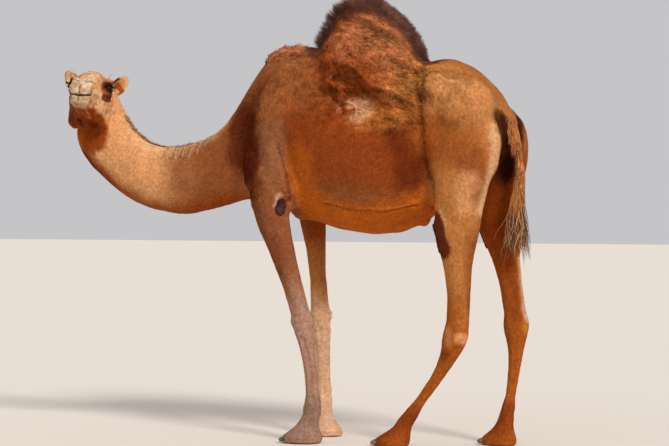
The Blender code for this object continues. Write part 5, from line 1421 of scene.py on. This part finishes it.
def grow_crest():
    """The dark hair along the top of the hump, which stands away from the hump's middle."""
    roots = ground.scatter(near(ground.centre, body(CREST), 0.128, 0.075), 0.0044)
    places, normals, _ = roots
    away = places - body((0.09, 0.0, 1.80))
    away[:, 1] *= 0.55
    edge = near(places, body(CREST), 0.105, 0.045)
    way = unit(away) + 0.30 * grain3(places, 0.03, 79) + 0.15 * grain3(places, 0.008, 80) + (-0.12, 0, 0.10)
    way = mix(lie(places, normals) + (0, 0, -0.6), unit(way), edge)
    tall = 0.020 + 0.020 * edge + 0.006 * grain(places, 0.02, 78) * edge
    tall *= 1 - 0.45 * near(places, body(CREST[-4:]), 0.16, 0.08)
    grow("crest", roots, tall, 0.0024, 0.30, hair_material, "coat_dark", crest_colours, rings=4, way=way,
         droop=0.3, wave=0.06, uneven=0.25, soft=0.35)


def strand_colours(dark, pale, share, seed):
    """Strands between a dark and a pale tone, a share of them dark."""
    def colours(points):
        blend = np.random.default_rng(seed).random(len(points))
        lump = 0.25 * grain(points, 0.03, seed)
        return mix(np.tile(dark, (len(points), 1)), pale, ease((blend + lump - share) / 0.5 + 0.5))
    return colours


def grow_shoulder_hair():
    """The dark hair over the front of the shoulder."""
    line = ((0.66, 0.12, 1.60), (0.70, 0.12, 1.48), (0.69, 0.14, 1.38), (0.665, 0.17, 1.29),
            (0.64, 0.20, 1.21))
    roots = ground.scatter(near_both(ground.centre, body, line, 0.10, 0.04), 0.0085)
    grow("shoulder_hair", roots, 0.030, 0.0040, 0.22, coat_material, "coat_dark", rings=3, wave=0.04,
         uneven=0.20)


def grow_nape_fringe():
    """A low fringe along the nape."""
    roots = ground.scatter(near(ground.centre, body(NAPE[1:7]), 0.028, 0.014), 0.0045)
    colours = strand_colours(srgb(128, 70, 34), srgb(196, 136, 86), 0.45, 83)
    grow("nape_fringe", roots, 0.021, 0.0030, 0.62, hair_material, "coat_ochre", colours, rings=3, droop=0.35)


def grow_wool():
    """Matted curls on the hump, the upper flanks and the withers, but not on the rubbed patch."""
    woolly = wool_share(ground.centre) * (1 - crest_share(ground.centre)) * open_ground
    woolly *= 1 - near(ground.centre, body(BARE_PATCH), 0.045, 0.020)
    for name, side in SIDES.items():
        roots = ground.scatter(woolly * ((ground.centre[:, 1] - BODY[1]) * side >= 0), 0.0084)
        longer = 0.30 * ropes(roots[0])[0]
        grow("wool_" + name, roots, 0.024 + 0.010 * longer, 0.0042, 0.30, coat_material, "coat_pale", rings=3,
             curl=0.8, wave=0.12, swirl=0.8, uneven=0.20, flat=0.7, soft=0.5)


def grow_tail():
    """Hair down the tail's sides and back, and a long tuft at its end."""
    height = ground.centre[:, 2]
    front = np.interp(height, [place[2] for place in TAIL[::-1]], [place[0] for place in TAIL[::-1]])
    here = near(ground.centre, body(TAIL[1:]), 0.060, 0.050)
    here *= ground.centre[:, 0] < front + BODY[0] + 0.022
    roots = ground.scatter(here * ease((1.56 - height) / 0.10) * ease((height - 1.02) / 0.04), 0.0047)
    down = (0.02, 0.0, -1.0) + 0.12 * grain3(roots[0], 0.03, 89) + 0.12 * roots[1]
    long = 0.034 + 0.075 * ease((1.24 - roots[0][:, 2]) / 0.20)
    colours = strand_colours(srgb(122, 66, 28), srgb(200, 126, 66), 0.30, 97)
    grow("tail_hair", roots, long, 0.0032, 0.14, hair_material, "coat_rufous", colours, rings=4, soft=0.5,
         way=down, wave=0.04, uneven=0.22)
    roots = ground.scatter(here * ease((1.19 - height) / 0.06), 0.0042)
    down = (0.03, 0.0, -1.0) + 0.045 * grain3(roots[0], 0.02, 101) + 0.02 * roots[1]
    long = np.clip((roots[0][:, 2] - 0.93) * rng.uniform(0.75, 1.15, len(roots[0])), 0.06, 0.24)
    colours = strand_colours(srgb(84, 48, 28), srgb(190, 138, 92), 0.48, 103)
    grow("tail_tuft_hair", roots, long, 0.0042, 0.15, hair_material, "coat_dark", colours, rings=6, way=down,
         wave=0.09, uneven=0.25, nodes=("tail_tuft",), droop=0.2)


grow_crest()
grow_shoulder_hair()
grow_nape_fringe()
grow_wool()
grow_tail()


# ---------------------------------------------------------------------- eyes, nails and calluses
def joined(name, pieces):
    """One object out of several meshes with their colours."""
    verts, faces, tints = [], [], []
    for points, polygons, colours in pieces:
        start = sum(len(part) for part in verts)
        verts.append(points)
        faces += [[index + start for index in face] for face in polygons]
        tints.append(colours)
    mesh = bpy.data.meshes.new(name)
    mesh.from_pydata(np.concatenate(verts).tolist(), [], faces)
    bm = bmesh.new()
    bm.from_mesh(mesh)
    bmesh.ops.recalc_face_normals(bm, faces=bm.faces)
    bm.to_mesh(mesh)
    bm.free()
    paint(mesh, np.concatenate(tints))
    return new_object(name, mesh)


def eyeball(side):
    """A dark eye with a brown iris and a level pupil."""
    centre = head(EYE * (1, side, 1))[0]
    gaze, fore, up = eye_axes(side)
    bm = bmesh.new()
    bmesh.ops.create_uvsphere(bm, u_segments=56, v_segments=44, radius=1.0)
    points = np.array([vert.co[:] for vert in bm.verts])
    faces = [[vert.index for vert in face.verts] for face in bm.faces]
    bm.free()
    angle = np.arccos(np.clip(points[:, 2], -1, 1))
    radius = EYE_RADIUS * (1 + 0.055 * ease((0.62 - angle) / 0.30))
    along, height = points[:, 0] * EYE_RADIUS, points[:, 1] * EYE_RADIUS
    turn = np.arctan2(height, along)
    spoke = grain(np.stack([np.cos(turn) * 4, np.sin(turn) * 4, angle], axis=1), 0.5, 3)
    colours = np.tile(srgb(60, 34, 26), (len(points), 1))
    front = points[:, 2] > 0
    around = np.hypot(along, height)
    colours = mix(colours, srgb(20, 11, 8), ease((0.0150 - around) / 0.0020) * front)
    iris = srgb(38, 20, 12) * (1 + 0.25 * spoke[:, None])
    colours = mix(colours, iris, ease((0.0125 - around) / 0.0015) * front)
    pupil = np.hypot(along / 0.0072, height / 0.0040)
    colours = mix(colours, srgb(6, 4, 4), ease((1.1 - pupil) / 0.2) * front)
    # Only the part within the lids stands at the full size.
    hidden = np.maximum(ease((almond(along, height) - 1.25) / 0.25), ~front)
    points = points * (radius * (1 - 0.30 * hidden))[:, None]
    places = centre + points[:, :1] * fore + points[:, 1:2] * up + points[:, 2:] * gaze
    return places, faces, np.clip(colours, 0.001, 1)


def eyelids(side):
    """A soft rim round the opening, thicker above, and a fold round that."""
    centre = head(EYE * (1, side, 1))[0]
    gaze, fore, up = eye_axes(side)
    parts = []
    count, ring = 56, 10
    length, over, under = LID_LINE
    rims = ((1.03, 1.0, 0.0014, srgb(16, 8, 6)), (1.42, 0.9, 0.0016, srgb(30, 14, 9)))
    for spread, thick, above, tint in rims:
        places = []
        turn = np.linspace(0, 2 * math.pi, count, endpoint=False)
        half = np.where(np.sin(turn) > 0, over, under)
        along, height = length * np.cos(turn) * (1 + (spread - 1) * 0.45), half * np.sin(turn) * spread
        reach = EYE_RADIUS + above
        out = np.sqrt(np.maximum(reach**2 - along**2 - height**2, 1e-6))
        middle = centre + along[:, None] * fore + height[:, None] * up + out[:, None] * gaze
        size = thick * (0.0014 + 0.0009 * np.maximum(np.sin(turn), 0) + 0.0003 * np.maximum(-np.sin(turn), 0))
        forward = unit(np.roll(middle, -1, axis=0) - np.roll(middle, 1, axis=0))
        radial = unit(middle - centre)
        beside = np.cross(forward, radial)
        for step in range(ring):
            angle = 2 * math.pi * step / ring
            places.append(middle + (radial * math.cos(angle) + beside * math.sin(angle)) * size[:, None])
        points = np.stack(places, axis=1).reshape(-1, 3)
        faces = []
        for i in range(count):
            here, there = i * ring, (i + 1) % count * ring
            for j in range(ring):
                beyond = (j + 1) % ring
                faces.append([here + j, there + j, there + beyond, here + beyond])
        parts.append((points, faces, np.tile(tint, (len(points), 1))))
    return parts


eye_material = hide_material("eye_wet", fine=300, coarse=80, depth=0.05, bump=0.0, rough=0.10, specular=0.22)
wet = eye_material.node_tree.nodes["Principled BSDF"]
wet.inputs["Coat Weight"].default_value, wet.inputs["Coat Roughness"].default_value = 0.25, 0.02
for name, side in SIDES.items():
    finish_piece(joined("eyeball_" + name, [eyeball(side)]), eye_material, ("eye_" + name,))
lid_material = hide_material(
    "eyelid", fine=900, coarse=300, depth=0.15, bump=0.3, bump_height=0.0004, rough=0.75, specular=0.12)
finish_piece(joined("eyelids", eyelids(1.0) + eyelids(-1.0)), lid_material)


def all_of(tint):
    """One colour for every hair."""
    return lambda points: np.tile(tint, (len(points), 1))


def hair_rows(rows):
    """Single hairs given one by one: roots, directions and lengths, shaped like the tufts."""
    roots = np.array([row[0] for row in rows])
    ways = unit(np.array([row[1] for row in rows]))
    lengths = np.array([row[2] for row in rows])
    ups = unit(np.array([row[3] for row in rows]))
    ups = unit(ups - ways * (ups * ways).sum(axis=1, keepdims=True))
    # Every seventh triangle is enough to find one that is near.
    close = np.array([((ground.centre[::7] - root) ** 2).sum(axis=1).argmin() * 7 for root in roots])
    return (roots, ups, ground.uv[close].mean(axis=1)), ways, lengths


def grow_lashes():
    """Two rows of long lashes over each eye, and a short one below it."""
    rows = []
    length, over, under = LASH_LINE
    for side in SIDES.values():
        centre = head(EYE * (1, side, 1))[0]
        gaze, fore, up = eye_axes(side)
        for row, (turn0, turn1, number, long, lift) in enumerate((
            (0.06, 0.94, 46, 0.017, 0.25), (0.10, 0.90, 34, 0.021, 0.50), (1.15, 1.85, 22, 0.009, -0.2),
        )):
            for turn in np.linspace(turn0, turn1, number) * math.pi + rng.normal(0, 0.03, number):
                half = over if math.sin(turn) > 0 else under
                along, height = length * math.cos(turn), half * math.sin(turn)
                out = math.sqrt((EYE_RADIUS + 0.0030) ** 2 - along**2 - height**2)
                root = centre + fore * along + up * height + gaze * out
                way = gaze * 0.9 + fore * (math.cos(turn) * 0.55 + rng.normal(0, 0.08))
                way = way + up * (lift + rng.normal(0, 0.10))
                rows.append((root, way, long * rng.uniform(0.8, 1.15), -up if row < 2 else up))
    roots, ways, lengths = hair_rows(rows)
    grow("lashes", roots, lengths, 0.0007, 0.35, hair_material, "coat_dark", all_of(SOOT), rings=4, way=ways,
         droop=0.0, uneven=0.1, flat=1.0)


def grow_whiskers():
    """Whiskers on the brows, and a few short ones on the lips."""
    rows = []
    for side in SIDES.values():
        for place, way, number, long in (
            ((0.196, side * 0.080, 0.120), (0.25, side * 0.55, 0.75), 4, 0.050),
            ((0.165, side * 0.088, 0.112), (0.0, side * 0.75, 0.70), 2, 0.045),
            ((0.47, side * 0.040, 0.025), (0.5, side * 0.8, 0.0), 10, 0.016),
        ):
            for _ in range(number):
                root = head(np.array(place) + rng.normal(0, 0.009, 3) * (1, 0.4, 1))[0]
                nearest = ((ground.points - root) ** 2).sum(axis=1).argmin()
                aim = HEAD_ROT @ (np.array(way) + rng.normal(0, 0.15, 3))
                length = long * rng.uniform(0.6, 1.1)
                rows.append((ground.points[nearest], aim, length, ground.normals[nearest]))
    roots, ways, lengths = hair_rows(rows)
    grow("whiskers", roots, lengths, 0.0006, 0.1, hair_material, "coat_dark", all_of(UMBER), rings=4,
         way=ways, droop=0.4, uneven=0.1, flat=1.0)


grow_lashes()
grow_whiskers()


def rounded(nodes, name, voxel):
    """CAD nodes as one finer, rounder piece."""
    bm = bmesh.new()
    for node in nodes:
        copy_node(bm, node)
    made = new_object(name, bm)
    modify(made, "REMESH", mode="VOXEL", voxel_size=voxel)
    relax(made, 10)
    return made


def make_nails():
    """The nails, of dull, streaked horn."""
    nails = rounded(NAILS, "nails", 0.0020)
    points = points_of(nails.data)
    tone = 1 + 0.20 * grain(points * (1, 1, 3), 0.008, 107) + 0.12 * grain(points, 0.003, 109)
    horn = np.tile(srgb(66, 48, 40), (len(points), 1))
    horn = mix(horn, srgb(122, 96, 78), ease(0.5 + grain(points, 0.02, 113)))
    paint(nails.data, horn * tone[:, None])
    material = hide_material(
        "horn", fine=700, coarse=150, depth=0.15, bump=0.3, bump_height=0.0006, rough=0.5, specular=0.4)
    finish_piece(nails, material, NAILS)


def lay_on_hide(pads):
    """Flattens the calluses onto the skin, thick in their middles and sunk into it at their edges."""
    points, facing = points_of(pads.data), normals_of(pads.data)
    for place in (middle_of("pad_elbow_left"), middle_of("pad_elbow_right")):
        points -= near(points, np.array([place]), 0.12, 0.10)[:, None] * (0.020, 0.0, 0.0)
    hide = BVHTree.FromPolygons(skin_points.tolist(), ground.corners.tolist())
    for index, point in enumerate(points):
        found, normal, _, _ = hide.find_nearest(point)
        outer = ease(np.array([(Vector(facing[index]).dot(normal) + 0.15) / 0.6]))[0]
        height = (Vector(point) - found).dot(normal)
        points[index] = found + normal * (outer * min(max(0.5 * height, 0.004), 0.008) - (1 - outer) * 0.004)
    put_points(pads.data, points)
    relax(pads, 6)


def make_calluses():
    """The calluses, of cracked leather, the one under the chest paler except where it faces down."""
    pads = rounded(PADS, "calluses", 0.0030)
    lay_on_hide(pads)
    points, normals = points_of(pads.data), normals_of(pads.data)
    cracks = 1 - np.clip(4.0 * np.abs(grain(points, 0.016, 127)), 0, 1)
    put_points(pads.data, points + normals * (0.0010 * grain(points, 0.010, 131) - 0.0014 * cracks)[:, None])
    leather = mix(np.tile(srgb(66, 26, 14), (len(points), 1)), srgb(26, 11, 6), cracks)
    leather = mix(leather, srgb(104, 54, 30), 0.35 * ease(grain(points, 0.02, 137)))
    # The callus under the chest is paler, except on its faces that look down.
    chest = near(points, np.array([middle_of("pad_chest")]), 0.30, 0.20)
    chest *= np.abs(points[:, 1] - BODY[1]) < 0.13
    leather = mix(leather, srgb(150, 80, 38), 0.75 * chest * ease((normals[:, 2] + 0.6) / 0.5))
    paint(pads.data, leather)
    material = hide_material(
        "callus_leather", fine=500, coarse=120, depth=0.2, bump=0.6, bump_height=0.0012, rough=0.75)
    finish_piece(pads, material, PADS)


make_nails()
make_calluses()

# ---------------------------------------------------------------------- camera, light and floor
camera = bpy.data.cameras.new("camera")
camera_object = bpy.data.objects.new("camera", camera)
bpy.context.scene.collection.objects.link(camera_object)
bpy.context.scene.camera = camera_object
# The camera stands on the left, turned to the rear by this much, so far away and so high. It pans and tilts.
REARWARD, AWAY, CAMERA_HEIGHT = math.radians(20), 10.0, 1.17
PAN, TILT = math.radians(1.527), math.radians(-0.757)
to_camera = Vector((-math.sin(REARWARD), math.cos(REARWARD), 0.0))
camera_object.location = Vector(BODY) + to_camera * AWAY + Vector((0, 0, CAMERA_HEIGHT))
camera.lens, camera.sensor_width = 114.08, 36.0
camera.clip_end = 60.0
aim = (-to_camera).to_track_quat("-Z", "Y").to_matrix().to_4x4()
camera_object.matrix_world = (
    Matrix.Translation(camera_object.location) @ Matrix.Rotation(PAN, 4, "Z") @ aim
    @ Matrix.Rotation(TILT, 4, "X")
)


def sun(name, towards, angle, strength, colour):
    """A soft light from far away, in the direction towards it, as wide as the angle in degrees."""
    data = bpy.data.lights.new(name, "SUN")
    data.angle, data.energy, data.color = math.radians(angle), strength, colour
    made = bpy.data.objects.new(name, data)
    made.rotation_mode = "QUATERNION"
    made.rotation_quaternion = Vector(towards).to_track_quat("Z", "Y")
    bpy.context.scene.collection.objects.link(made)


sun("key", (-0.62, 0.50, 0.62), 14, 2.5, (1.0, 0.97, 0.93))
sun("fill", (0.70, 0.60, 0.30), 60, 0.35, (1.0, 0.98, 0.96))

bm = bmesh.new()
bmesh.ops.create_grid(bm, x_segments=1, y_segments=1, size=40.0)
floor = new_object("floor", bm)
floor_material = bpy.data.materials.new("studio_floor")
floor_material.use_nodes = True
matt = floor_material.node_tree.nodes["Principled BSDF"]
matt.inputs["Base Color"].default_value, matt.inputs["Roughness"].default_value = (0.76, 0.69, 0.61, 1), 0.9
floor.data.materials.append(floor_material)

world = bpy.data.worlds.new("studio")
world.use_nodes = True
sky = world.node_tree.nodes["Background"]
sky.inputs["Color"].default_value, sky.inputs["Strength"].default_value = (0.93, 0.92, 0.95, 1.0), 0.60
bpy.context.scene.world = world
bpy.context.scene.view_settings.view_transform = "Standard"
